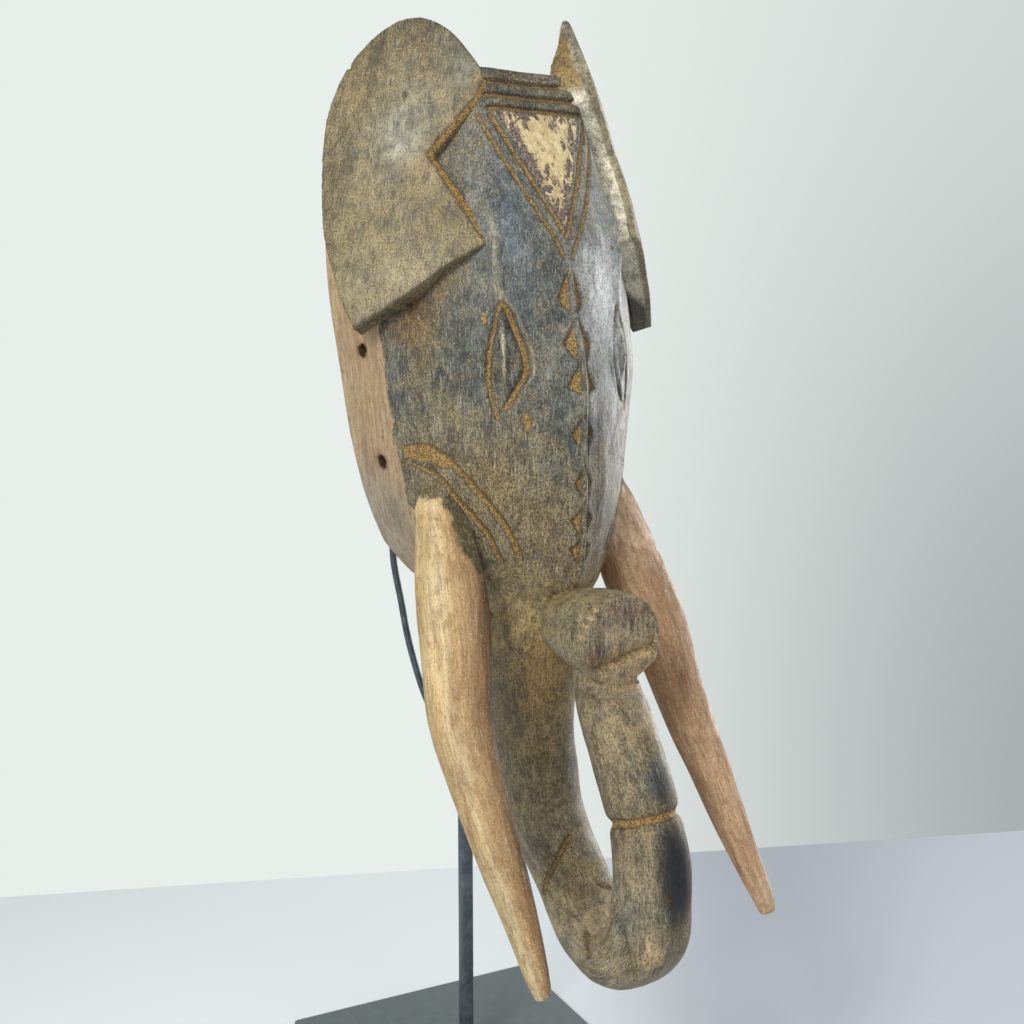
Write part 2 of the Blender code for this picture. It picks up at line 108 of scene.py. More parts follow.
# ---------------------------------------------------------------- ears
EAR_CORNER = (105, -56, 496)
EAR_ALONG = (0.616, 0.788, 0.0)
EAR_UP = (-0.236, 0.184, 0.954)
EAR_THICK = 13.0
EAR_TOP_SHARE = 0.25
EAR_TAPER_START = 150.0
EAR_HEIGHT = 185.0
EAR_MIDDLE = -20.0
EAR_HALF_RUN = 54.0
EAR_BOW_LEVEL = 0.35
EAR_SAG = {"right": 7.0, "left": 4.5}
EAR_BELLY = {"right": 0.0, "left": 4.5}
EAR_TURN_DEG = {"right": 0.0, "left": 6.0}
EAR_RISE = {"right": 0.98, "left": 1.032}
EAR_BACK_EDGE = (
    (0, 0), (13, 23), (27, 58), (34, 100), (34, 130), (24, 158), (4, 178), (-17, 185), (-38, 176),
    (-54, 158), (-61, 146),
)
EAR_ZIGZAG = ((-61, 146), (-58, 134), (-35, 102), (-74, 54))
EAR_LOWER_EDGE = ((-74, 54), (-52, 38), (-26, 17), (0, 0))

# ---------------------------------------------------------------- trunk and tusks
TRUNK_STATIONS = (
    (-92, 372, 38, 26), (-88, 352, 37, 26), (-80, 322, 33, 26), (-76, 288, 27, 25.5),
    (-77, 257, 24, 24), (-83, 232, 23, 22.5), (-92, 207, 22.5, 21.5), (-114, 182, 21.5, 18.5),
    (-139, 156, 22.5, 16.5), (-165, 148.5, 23.5, 17), (-186, 166, 22.5, 20.5),
    (-191, 194, 21, 20), (-188, 219, 20, 19), (-180, 242, 19.5, 18.5), (-168, 266, 19.5, 18.5),
    (-156, 286, 19.5, 17.5), (-148, 301, 18, 14.5), (-144, 313, 16, 12),
)
TIP_STATIONS = (
    (-164, 329, 24.5, 23), (-162, 329, 25.5, 24), (-157, 329.5, 26, 24.5),
    (-147, 330, 26.5, 24.5), (-134, 330, 25.5, 23), (-120, 330, 21.5, 20), (-100, 331, 15, 16),
)
TIP_FACE_DEPTH = -162.6  # where the tip's flat end lies
TUSK_STATIONS = {
    "right": (
        (58, -59, 412, 8), (62, -74, 394, 12.8), (68.5, -95, 357, 19.4), (75, -112, 325, 19.6),
        (81, -126, 290, 17.5), (82, -141, 262, 15.2), (82, -155, 241, 13.6),
        (81, -177, 206, 10.5), (80, -197, 172, 6.4), (80, -202, 163, 4.6),
    ),
    "left": (
        (58, -58, 411, 8), (63, -72, 388, 14), (65, -89, 352, 19), (70, -107, 319, 18),
        (74, -122, 285, 15.5), (76, -137, 257, 13.6), (77, -151, 237, 12.1),
        (78, -173, 204, 9.4), (80, -193, 174, 6.2), (80, -198, 166, 4.6),
    ),
}
TUSK_LIGHT_AND_SHADE = (  # painted light and shade across the right tusk as one view sees it, bright on its outer side and dark on the side near the trunk
    (-1.0, (206, 176, 124)), (-0.7, (214, 186, 134)), (-0.35, (224, 202, 158)),
    (0.0, (198, 164, 114)), (0.35, (180, 146, 100)), (0.7, (158, 124, 86)), (1.0, (90, 68, 48)),
)
ARM_ROUTE = (
    (6.6, 0, 229), (19, -2, 241), (33, -5, 266), (45, -8, 300), (52, -10, 330), (57, -10, 358),
    (58, -14, 384), (56, -26, 420), (51, -40, 470), (44, -53, 525), (37, -61, 560), (33, -65, 580),
)
ROD_RADIUS = 2.1

TRUNK_CUTS = (  # half width, depth, half width of the ochre (none below 0), path
    (3.2, 2.6, 1.0, (
        (4, -126, 213), (-4, -120.7, 203), (-15, -123.5, 193), (-21.5, -120, 177), (-18, -118, 168),
    )),
    (5.0, 2.6, -1.0, (
        (-16, -184, 200), (-20.7, -187, 192), (-22, -191, 180), (-21.5, -195, 169),
        (-18, -196, 157), (-8, -190, 150),
    )),
    (1.6, 0.9, 0.5, ((-20, -185, 195), (-21.5, -180, 172), (-20, -172, 158))),
    (2.0, 1.2, 0.7, ((-16, -153, 163.5), (-22.5, -162, 157), (-23, -168, 152))),
    (2.2, 1.8, 0.2, ((0, -139, 184), (6, -140, 178), (13, -140, 174))),
    (5.0, 2.2, -1.0, (
        (-24, -147, 298), (-18, -158, 297), (0, -164, 296), (19, -158, 296), (24, -147, 297),
    )),
    (1.6, 0.8, 0.4, ((-8, -194, 160), (4, -186, 152), (14, -180, 150))),
)

# ---------------------------------------------------------------- colours, as 0-255 screen values
KAOLIN_GROUND = (112, 94, 90)
# painted shade along the edges of the cuts
GROOVE_EDGE_SHADE = (52, 48, 42)
WALL_GREY = (150, 144, 126)
PAINT_LEVEL = 0.78  # the tints are read from a photo, where the light on the wood adds to them
LOOK_RIGHT = (0.829, -0.559, 0.0)  # the way to the right of the photo's view
LOOK_BEND = 1.855  # how steeply the paint's edge runs over a tusk in that view


def linear(colour):
    """Screen values as linear light."""
    value = np.asarray(colour, float) / 255
    return np.where(value <= 0.04045, value / 12.92, ((value + 0.055) / 1.055) ** 2.4)


def rgba(colour):
    return (*linear(colour), 1.0)


def over(tint, share, colour):
    """Lays linear colours over tints, by a share for each point."""
    share = np.asarray(share)[:, None]
    return tint * (1 - share) + colour * share


def unit(vectors):
    return vectors / np.maximum(np.linalg.norm(vectors, axis=-1, keepdims=True), 1e-12)


def smooth_step(value, low, high):
    t = np.clip((value - low) / (high - low), 0, 1)
    return t * t * (3 - 2 * t)


def lumps(points, size, seed=0):
    """Smooth random values from -1 to 1 at points, with lumps of about this size in mm."""
    place = np.asarray(points, float) / size + 19.7 * seed
    cell = np.floor(place).astype(np.int64)
    t = place - cell
    t = t * t * (3 - 2 * t)
    total = np.zeros(len(place))
    for corner in np.ndindex(2, 2, 2):
        key = (cell + corner) @ np.array((73856093, 19349663, 83492791))
        key = (key ^ (key >> 13)) * 1274126177
        key = (key ^ (key >> 16)) & 0xFFFF
        share = np.prod(np.where(corner, t, 1 - t), axis=1)
        total += share * (key / 32767.5 - 1)
    return total


def spline(points, places):
    """Catmull-Rom curve through rows of points, read at places counted in rows."""
    points = np.asarray(points, float)
    places = np.asarray(places, float)
    padded = np.vstack([2 * points[0] - points[1], points, 2 * points[-1] - points[-2]])
    span = np.clip(places.astype(int), 0, len(points) - 2)
    t = (places - span)[:, None]
    a, b, c, d = (padded[span + i] for i in range(4))
    square = 2 * a - 5 * b + 4 * c - d
    cube = 3 * b - a - 3 * c + d
    return 0.5 * (2 * b + (c - a) * t + square * t**2 + cube * t**3)


def run_along(points):
    """The distance along a line of points, at each of them."""
    return np.concatenate([[0], np.cumsum(np.linalg.norm(np.diff(points, axis=0), axis=1))])


def read_at(wanted, places, rows):
    """Rows read between the places that they are known at."""
    return np.stack([np.interp(wanted, places, column) for column in rows.T], axis=1)


def even_spline(points, count):
    """Points at even distances along the curve through the given ones."""
    fine = spline(points, np.linspace(0, len(points) - 1, 40 * len(points)))
    run = run_along(fine)
    return read_at(np.linspace(0, run[-1], count), run, fine)


def faded_ends(place, last, low, high):
    """1 along the middle of a line, falling to 0 at its ends."""
    return np.minimum(smooth_step(place, low, high), smooth_step(last - place, low, high))


def to_path(points, path):
    """Each point's distance to a line of straight runs, and its place along it in rows."""
    path = np.asarray(path, float)
    best = np.full(len(points), 1e9)
    place = np.zeros(len(points))
    for i, (start, end) in enumerate(zip(path, path[1:])):
        way = end - start
        t = np.clip((points - start) @ way / (way @ way), 0, 1)
        gap = np.linalg.norm(points - start - t[:, None] * way, axis=1)
        near = gap < best
        best[near] = gap[near]
        place[near] = i + t[near]
    return best, place


# ---------------------------------------------------------------- meshes
def mesh_of(name, points, faces):
    """A mesh of points in millimetres."""
    mesh = bpy.data.meshes.new(name)
    mesh.from_pydata((np.asarray(points) * MM).tolist(), [], faces)
    mesh.update()
    return mesh


def facing_out(mesh):
    bm = bmesh.new()
    bm.from_mesh(mesh)
    bmesh.ops.recalc_face_normals(bm, faces=bm.faces)
    bm.to_mesh(mesh)
    bm.free()


def per_point(mesh, what):
    flat = np.empty(len(mesh.vertices) * 3, np.float32)
    mesh.vertices.foreach_get(what, flat)
    return flat.reshape(-1, 3).astype(float)


def points_of(mesh):
    """A mesh's points in millimetres."""
    return per_point(mesh, "co") / MM


def normals_of(mesh):
    return per_point(mesh, "normal")


def move_points(mesh, points):
    mesh.vertices.foreach_set("co", (points * MM).astype(np.float32).ravel())
    mesh.update()


def grid_faces(rows, columns, start=0, closed=False):
    """Four-sided faces of a grid of points that are numbered row by row."""
    row, column = np.meshgrid(
        np.arange(rows - 1), np.arange(columns if closed else columns - 1), indexing="ij"
    )
    after = (column + 1) % columns
    near, far = start + row * columns, start + (row + 1) * columns
    faces = np.stack([near + column, near + after, far + after, far + column], axis=-1)
    return faces.reshape(-1, 4).tolist()


def placed(name, data):
    """An object in the scene, made from its mesh, camera or light."""
    obj = bpy.data.objects.new(name, data)
    bpy.context.scene.collection.objects.link(obj)
    return obj


def piece(name, mesh, body, look, replaced):
    """Makes a piece that stands for one node of the frame."""
    obj = placed(name, mesh)
    mesh.materials.clear()
    mesh.materials.append(look)
    mesh.shade_smooth()
    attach(obj, body)
    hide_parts(replaced)
    return obj


def store(mesh, name, values):
    """Keeps one number, or one vector, for each point of the mesh."""
    values = np.asarray(values, np.float32)
    kind, key = ("FLOAT", "value") if values.ndim == 1 else ("FLOAT_VECTOR", "vector")
    mesh.attributes.new(name, kind, "POINT").data.foreach_set(key, values.ravel())


def store_colour(mesh, name, colours):
    colours = np.hstack([np.asarray(colours), np.ones((len(colours), 1))]).astype(np.float32)
    made = mesh.color_attributes.new(name, "FLOAT_COLOR", "POINT")
    made.data.foreach_set("color", colours.ravel())


def store_looks(mesh, tint, grain, groove=None, paint=None, dust=None, worn=None, kaolin=None):
    """The values that the wood finish reads: tint and grain direction, distances to the edges of
    cuts, paint and kaolin in mm, and how dusty and how worn black each place is."""
    count = len(mesh.vertices)
    dust = np.full(count, 0.3) if dust is None else dust
    if groove is not None:
        dust = np.clip(dust + 0.5 * np.exp(-((np.maximum(groove, 0) / 3.0) ** 2)), 0, 1)
    store_colour(mesh, "tint", tint)
    store(mesh, "grain", grain)
    for name, values, normal in (
        ("groove", groove, FAR), ("paint", paint, FAR), ("dust", dust, 0.3), ("worn", worn, 0.0),
        ("kaolin", kaolin, -FAR),
    ):
        store(mesh, name, np.full(count, normal) if values is None else values)


def blotch(points, centre, reach, power=2.0):
    """1 at the centre of an ellipsoid, falling to 0 about its edge."""
    away = np.linalg.norm((points - np.array(centre, float)) / np.array(reach, float), axis=1)
    return np.exp(-(away**power) * 1.6)


def tinted(base, points, spots, seed=0):
    """Colours at points: a base colour with soft spots of (centre, reach, colour, strength)."""
    tint = np.tile(linear(base), (len(points), 1))
    shift = np.stack([lumps(points, 14, seed + i) for i in (1, 2, 3)], axis=1) * 6
    for centre, reach, colour, strength in spots:
        tint = over(tint, strength * blotch(points + shift, centre, reach), linear(colour))
    return tint * PAINT_LEVEL


def evaluated(obj):
    """The object's mesh with its modifiers worked in."""
    graph = bpy.context.evaluated_depsgraph_get()
    return bpy.data.meshes.new_from_object(obj.evaluated_get(graph))


def remeshed(points, faces, voxel, rounds):
    """A closed rough mesh, or several that overlap, as one skin of small even faces."""
    obj = placed("rough", mesh_of("rough", points, faces))
    facing_out(obj.data)
    remesh = obj.modifiers.new("Remesh", "REMESH")
    remesh.mode = "VOXEL"
    remesh.voxel_size = voxel * MM
    smooth = obj.modifiers.new("Smooth", "SMOOTH")
    smooth.factor = 0.5
    smooth.iterations = rounds
    made = evaluated(obj)
    bpy.data.objects.remove(obj)
    return made


def kept_in_wall(points, skin, most=8.0):
    """Moves points that lie deep inside the head out to this depth, clear of the hollow."""
    moved = points.copy()
    for i, point in enumerate(points):
        spot, normal, _, _ = skin.find_nearest(Vector(point), 40.0)
        if spot is None:
            continue
        depth = (Vector(point) - spot).dot(normal)
        if depth < -most:
            moved[i] = spot - normal * most
    return moved


def swollen(points, normals, other, reach):
    """Points moved outwards near another solid's skin, so that the two run together in a fillet."""
    moved = points.copy()
    for i, point in enumerate(points):
        spot, _, _, away = other.find_nearest(Vector(point), reach)
        if spot is not None:
            moved[i] += normals[i] * (reach / 4 * (1 - away / reach) ** 2)
    return moved


def feathered(points, skin):
    """Lays the trunk's root over the chin, thinner and thinner upwards, so that no step shows."""
    moved = points.copy()
    for i, (x, y, z) in enumerate(points):
        on_tip = abs(x) < 29 and (y < -121 or (y < -113 and z < 352))
        if z < 318 or y > -74 or on_tip:
            continue
        spot, normal, _, _ = skin.find_nearest(Vector(points[i]), 30.0)
        if spot is None or (Vector(points[i]) - spot).dot(normal) < -9:
            continue
        share = float(smooth_step(z, 318, 344) * (1 - smooth_step(-y, 108, 121)))
        proud = float(np.interp(z, (338, 352, 372, 380), (2.8, 1.6, -0.6, -2.5)))
        moved[i] = points[i] * (1 - share) + np.array(spot + normal * proud) * share
    return moved


def skin_of(mesh, count):
    """The faces of a mesh's first points, for distance questions in millimetres."""
    points = points_of(mesh)
    faces = [tuple(face.vertices) for face in mesh.polygons]
    return BVHTree.FromPolygons(points.tolist(), [face for face in faces if max(face) < count])


# ---------------------------------------------------------------- head
def rim_depth(height):
    return RIM_DEPTH_REF + RIM_SLOPE * (height - RIM_HEIGHT_REF)


def section_at(height):
    """The seven points of the head's half section at a height."""
    heights = np.array([row[0] for row in HEAD_SECTIONS])
    table = np.array([row[1] for row in HEAD_SECTIONS], float).reshape(len(heights), -1)
    place = np.interp(-height, -heights, np.arange(len(heights)))
    section = spline(table, [place])[0].reshape(-1, 2)
    section[-1, 1] = rim_depth(height)
    return section


def fine_section(height):
    """The half section as a fine line of (across, depth), with the distances along it."""
    fine = spline(section_at(height), np.linspace(0, 6, SECTION_STEPS + 1))
    return fine, run_along(fine)


def half_row(height, face, wall, end):
    """Points of the half section: evenly over the face, then over the wall to the end depth. Each
    is (across, depth, distance from the ridge, distance past the corner of the face)."""
    fine, run = fine_section(height)
    corner = run[CORNER_STEP]
    last = np.interp(end, fine[CORNER_STEP:, 1], run[CORNER_STEP:])
    wanted = np.concatenate([
        np.linspace(0, corner, face + 1), np.linspace(corner, last, wall + 1)[1:]
    ])
    return np.column_stack([read_at(wanted, run, fine), wanted, wanted - corner])


def both_halves(half):
    """A whole row from the mask's right rim, over the ridge, to its left rim."""
    right = half[:0:-1] * (-1, 1, -1, 1)
    return np.vstack([right, half])


def head_skin(face, wall, heights, round_off):
    """Rows of the head's outer form with the closing rows at the bottom and the top, as
    (x, y, z) and (distance from the ridge, distance past the face's corner)."""
    places, flats = [], []
    steps = ((1, 0), (0.62, 0), (0.3, 0), (0.12, 0), (0.035, 0), (0.012, 0.4), (0.003, 1.2))
    wanted = [(heights[0], share, inset) for share, inset in steps]
    wanted += [(height, 0, 0) for height in heights[1:-1]]
    wanted += [(heights[-1], share, -inset) for share, inset in steps[::-1]]
    for height, share, inset in wanted:
        end = rim_depth(height) - round_off
        half = both_halves(half_row(height, face, wall, end))
        depth = half[:, 1] + (end - half[:, 1]) * share
        places.append(np.stack([half[:, 0], depth, np.full(len(half), height + inset)], 1))
        flats.append(half[:, 2:])
    return np.array(places), np.array(flats)


def loop_of(rows, columns, start=0):
    """Numbers of the points round the edge of a grid, up the right side first."""
    number = start + np.arange(rows * columns).reshape(rows, columns)
    return np.concatenate([number[:, 0], number[-1, 1:], number[-2::-1, -1], number[0, -2:0:-1]])


def loop_corners(rows, columns):
    return (0, rows - 1, rows + columns - 2, 2 * rows + columns - 3, 2 * (rows + columns) - 4)


def zipped(outer, inner, outer_corners, inner_corners):
    """Triangles between two loops whose corners match."""
    faces = []
    for k in range(4):
        i, j = outer_corners[k], inner_corners[k]
        i_end, j_end = outer_corners[k + 1], inner_corners[k + 1]
        i_start, j_start = i, j
        while i < i_end or j < j_end:
            i_share = (i + 1 - i_start) / (i_end - i_start)
            j_share = (j + 1 - j_start) / (j_end - j_start)
            here = outer[i % len(outer)], inner[j % len(inner)]
            if j >= j_end or (i < i_end and i_share <= j_share):
                i += 1
                faces.append([here[0], outer[i % len(outer)], here[1]])
            else:
                j += 1
                faces.append([here[0], inner[j % len(inner)], here[1]])
    return faces


def inset_loops(points, loop, radius, sign):
    """Loops that round an edge over into the plane of the rim: new points, one row for each step."""
    edge = points[loop]
    way = np.roll(edge, -6, axis=0) - np.roll(edge, 6, axis=0)
    inward = unit(np.stack([way[:, 2], np.zeros(len(way)), -way[:, 0]], axis=1))
    for _ in range(4):
        inward = unit(inward + np.roll(inward, 1, axis=0) + np.roll(inward, -1, axis=0))
    middle = edge.mean(axis=0)
    facing = np.sign(((middle - edge) * inward).sum(axis=1))
    inward = inward * np.median(facing) * sign
    rows = []
    for angle in (30, 60, 90):
        turn = math.radians(angle)
        row = edge + inward * radius * (1 - math.cos(turn))
        row[:, 1] = rim_depth(row[:, 2]) - radius * (1 - math.sin(turn))
        rows.append(row)
    return rows


def ridge_distance(across, height):
    """Distance over the skin from the ridge to a place given by (across, height)."""
    fine, run = fine_section(height)
    return math.copysign(np.interp(abs(across), fine[:, 0], run), across)


def on_skin(path, mirror=False, smooth=0):
    """A carved line as (distance from the ridge, height) places."""
    line = np.array([(ridge_distance(x, z), z) for x, z in path])
    if smooth:
        line = even_spline(line, smooth)
    return line * (-1, 1) if mirror else line


def keep_more(state, key, values):
    state[key] = np.maximum(state[key], values)


def keep_nearer(state, gap):
    """Adds the distances to the edge of another cut that holds ochre."""
    state["groove"] = np.minimum(state["groove"], gap)


def carve(state, line, half_width, depth, fade=0.0, ochre=True):
    """Cuts a V along a line into the head: it adds to the depth and to the nearest cut's edge."""
    gap, place = to_path(state["flat"], line)
    share = faded_ends(place, len(line) - 1, -0.01, fade) if fade else np.ones(len(gap))
    width = half_width * (0.35 + 0.65 * share)
    keep_more(state, "cut", np.clip(1 - gap / width, 0, 1) * depth * share)
    if ochre:
        keep_nearer(state, gap - width * 0.55)


def raise_ridge(state, line, half_width, height, fade=1.0):
    gap, place = to_path(state["flat"], line)
    share = faded_ends(place, len(line) - 1, 0, fade)
    state["lift"] += height * share * np.exp(-((gap / half_width) ** 2))


def carve_bands(state):
    """Level cuts over the forehead, each with a steep dark upper wall and a gentle lower slope."""
    flat = state["flat"]
    for height, half in BANDS:
        below = height + 1.4 - flat[:, 1]
        inside = (below > 0) & (below < 3.6) & (np.abs(flat[:, 0]) < half)
        slope = np.where(below < 0.8, below / 0.8, (3.6 - below) / 2.8)
        keep_more(state, "cut", np.where(inside, 2.7 * slope, 0))
        keep_nearer(state, np.maximum(np.abs(below - 2.0) - 0.9, np.abs(flat[:, 0]) - half))
        keep_more(state, "shadow", np.where(inside & (below < 1.2), 0.9, 0))


def carve_notches(state):
    """Chips cut on both sides of the rib: each falls away from the rib to a steep outer wall."""
    across, height = np.abs(state["flat"][:, 0]), state["flat"][:, 1]
    for top, widest, bottom, half in NOTCHES:
        edge = np.interp(
            height, (bottom - 1, bottom + 2, widest, top - 4, top + 2),
            (1.2, 0.5 * half, 0.9 * half, 0.45 * half, 1.2), left=0, right=0,
        )
        share = np.clip((across - 1.0) / np.maximum(edge - 1.0, 0.1), 0, 1)
        wall = np.clip((edge - across) / 1.1, 0, 1)
        cut = 3.9 * share * wall * np.clip(edge / half, 0, 1) ** 0.7
        keep_more(state, "cut", np.where(across < 1.0, 0, cut))
        gap = np.maximum(across - edge + 1.5, 2.2 - across)
        keep_nearer(state, np.where((height > bottom - 1) & (height < top + 2), gap, FAR))
        rim = np.clip(1 - np.abs(edge - across - 0.7) / 1.3, 0, 1) * (edge > 1.6)
        keep_more(state, "shadow", 0.85 * rim)


def carve_eyes(state):
    """A raised lens with a crest down it, between a thin outer cut and a broad inner one."""
    flat = state["flat"]
    for mirror, toward in ((False, -1), (True, 1)):
        outer = on_skin(EYE_OUTER_ARC, mirror, 24)
        inner = on_skin(EYE_INNER_ARC, mirror, 32)
        keep_more(state, "cut", 0.7 * inside_outline(flat, np.vstack([outer, inner[::-1]])))
        carve(state, outer, 2.3, 2.6, fade=4, ochre=False)
        keep_nearer(state, to_path(flat, outer)[0] - 0.85)
        inner = inner + (1.5 * toward, 0)
        carve(state, inner, 4.6, 4.4, fade=7, ochre=False)
        keep_nearer(state, to_path(flat, inner[2:-2] + (-0.8 * toward, 0))[0] - 1.25)
        dark = to_path(flat, inner[3:-3] + (1.9 * toward, 0))[0]
        keep_more(state, "shadow", 0.8 * np.clip(1 - dark / 1.3, 0, 1))
        gap, place = to_path(flat, on_skin(EYE_CREST, mirror, 12))
        share = faded_ends(place, 11, 0, 4)
        state["lift"] += 2.9 * share * np.clip(1 - gap / 3.4, 0, 1)
        keep_more(state, "glint", share * np.clip(1.1 - gap / 1.1, 0, 1))
        lip = inner + (-4.6 * toward, 0)
        raise_ridge(state, lip[:26], 1.5, 1.1, 5)
        keep_more(state, "glint", 0.35 * np.clip(1 - to_path(flat, lip[:22])[0] / 1.2, 0, 1))


def inside_outline(points, outline):
    """1 for points inside a closed outline, else 0."""
    inside = np.zeros(len(points), bool)
    for (x0, y0), (x1, y1) in zip(outline, np.roll(outline, -1, axis=0)):
        crossing = (y0 > points[:, 1]) != (y1 > points[:, 1])
        at = x0 + (points[:, 1] - y0) * (x1 - x0) / (y1 - y0 if y1 != y0 else 1e-9)
        inside ^= crossing & (points[:, 0] < at)
    return inside.astype(float)


def past_edges(flat, corners):
    """How far places on the skin lie outside a shape with straight edges, less than 0 inside it."""
    corners = on_skin(corners)
    past = np.full(len(flat), -FAR)
    for (x0, z0), (x1, z1) in zip(corners, np.roll(corners, -1, axis=0)):
        away = (x0 - flat[:, 0]) * (z1 - z0) - (x1 - x0) * (z0 - flat[:, 1])
        past = np.maximum(past, away / math.hypot(x1 - x0, z1 - z0))
    return past


def head_details(points, flat):
    """How far each place of the skin is cut or raised, with the distances that the finish reads."""
    wobble = np.stack([lumps(points, 9, 1), lumps(points, 9, 2)], axis=1) * 0.35
    state = {key: np.zeros(len(points)) for key in ("cut", "lift", "shadow", "glint")}
    state["flat"] = flat + wobble
    state["groove"] = np.full(len(points), FAR)
    carve_bands(state)
    for mirror in (False, True):
        carve(state, on_skin(TRIANGLE_INNER, mirror), 1.9, 1.7)
        carve(state, on_skin(TRIANGLE_OUTER, mirror), 1.5, 1.3)
        carve(state, on_skin(CHEEK_OUTER, mirror, 50), 2.5, 2.2, fade=6)
        carve(state, on_skin(CHEEK_INNER, mirror, 40), 2.2, 1.8, fade=6)
        brow = on_skin(BROW_CREASE, mirror, 20)
        raise_ridge(state, brow, 6.0, 1.6, 6)
        gap, place = to_path(state["flat"], brow)
        sharp = smooth_step(place, 2, 10) * np.clip(1 - gap / 5.0, 0, 1)
        state["lift"] += 1.6 * sharp
        keep_more(state, "glint", 0.5 * sharp**2 * (not mirror))
    carve_eyes(state)
    carve_notches(state)
    across, height = np.abs(state["flat"][:, 0]), state["flat"][:, 1]
    along = smooth_step(height, RIB_LOW, RIB_LOW + 8) * (1 - smooth_step(height, 534, RIB_TOP))
    roof = smooth_step(height, 345, 375) * (1 - smooth_step(height, 520, 560))
    state["lift"] += roof * 1.5 * np.clip(1 - np.abs(flat[:, 0]) / 11, 0, 1)
    state["lift"] += along * 1.1 * np.clip(1 - (across - 0.4) / 1.0, 0, 1)
    state["lift"] -= along * 0.8 * np.clip(1 - np.abs(across - 2.1) / 0.9, 0, 1)
    state["lift"] += 0.30 * lumps(points, (10, 10, 22), 5) + 0.14 * lumps(points, (4, 4, 9), 6)
    return state


def face_spots():
    """Soft spots of colour on the carving, shared by the head and the trunk's root; some are painted
    highlight and sheen.
    """
    spots = []
    for side in (-1, 1):
        near = side < 0
        spots += [
            ((side * 70, -60, 590), (22, 40, 60), (112, 113, 98), 0.9),
            ((side * 66, -70, 535), (20, 30, 34), (128, 112, 74), 0.9),
            # painted highlight down the temple crest, then a painted bluish sheen beside it; both are
            # weaker on the far side
            ((side * 46, -94, 560), (5, 30, 46), (150, 156, 154), 0.7 if near else 0.3),
            ((side * 32, -104, 555), (12, 30, 44), (124, 138, 148), 0.85 if near else 0.3),
            ((side * 72, -70, 490), (14, 30, 40), (136, 118, 78), 0.85),
            ((side * 56, -92, 484), (14, 30, 34), (84, 90, 84), 0.85),
            ((side * 41, -106, 480), (8, 16, 28), (48, 49, 45), 0.88),
            ((side * 64, -86, 449), (9, 16, 16), (158, 145, 108), 0.75),
            ((side * 46, -100, 415), (28, 40, 34), (134, 117, 80), 0.85),
            ((side * 20, -118, 385), (22, 30, 34), (116, 100, 70), 0.85),
            ((side * 58, -86, 420), (9, 20, 10), (90, 94, 88), 0.7),
            ((side * 55, -88, 372), (14, 30, 26), (104, 88, 54), 0.85),
            ((side * 77, -68, 510), (12, 24, 24), (118, 70, 6), 0.97),
            ((side * 75, -70, 418), (14, 20, 26), (132, 112, 70), 0.8),
        ]
    spots += [
        ((0, -72, 642), (70, 24, 12), (82, 72, 62), 0.9),
        ((0, -80, 622), (40, 14, 10), (96, 88, 74), 0.6),
        # painted sheen over the far side of the face
        ((26, -112, 520), (25, 28, 66), (242, 243, 242), 0.95),
        ((18, -123, 416), (20, 24, 34), (46, 40, 31), 0.94),
        ((26, -118, 385), (22, 26, 38), (84, 74, 58), 0.9),
        ((66, -78, 470), (14, 34, 70), (96, 88, 74), 0.9),
        ((-22, -116, 515), (16, 14, 26), (84, 92, 96), 0.8),
        ((-16, -122, 462), (10, 14, 20), (130, 136, 132), 0.6),
        ((-28, -116, 440), (16, 20, 20), (96, 101, 94), 0.85),
        ((0, -108, 345), (50, 30, 18), (124, 108, 72), 0.85),
        ((0, -90, 322), (50, 44, 30), (176, 148, 90), 0.9),
    ]
    return spots


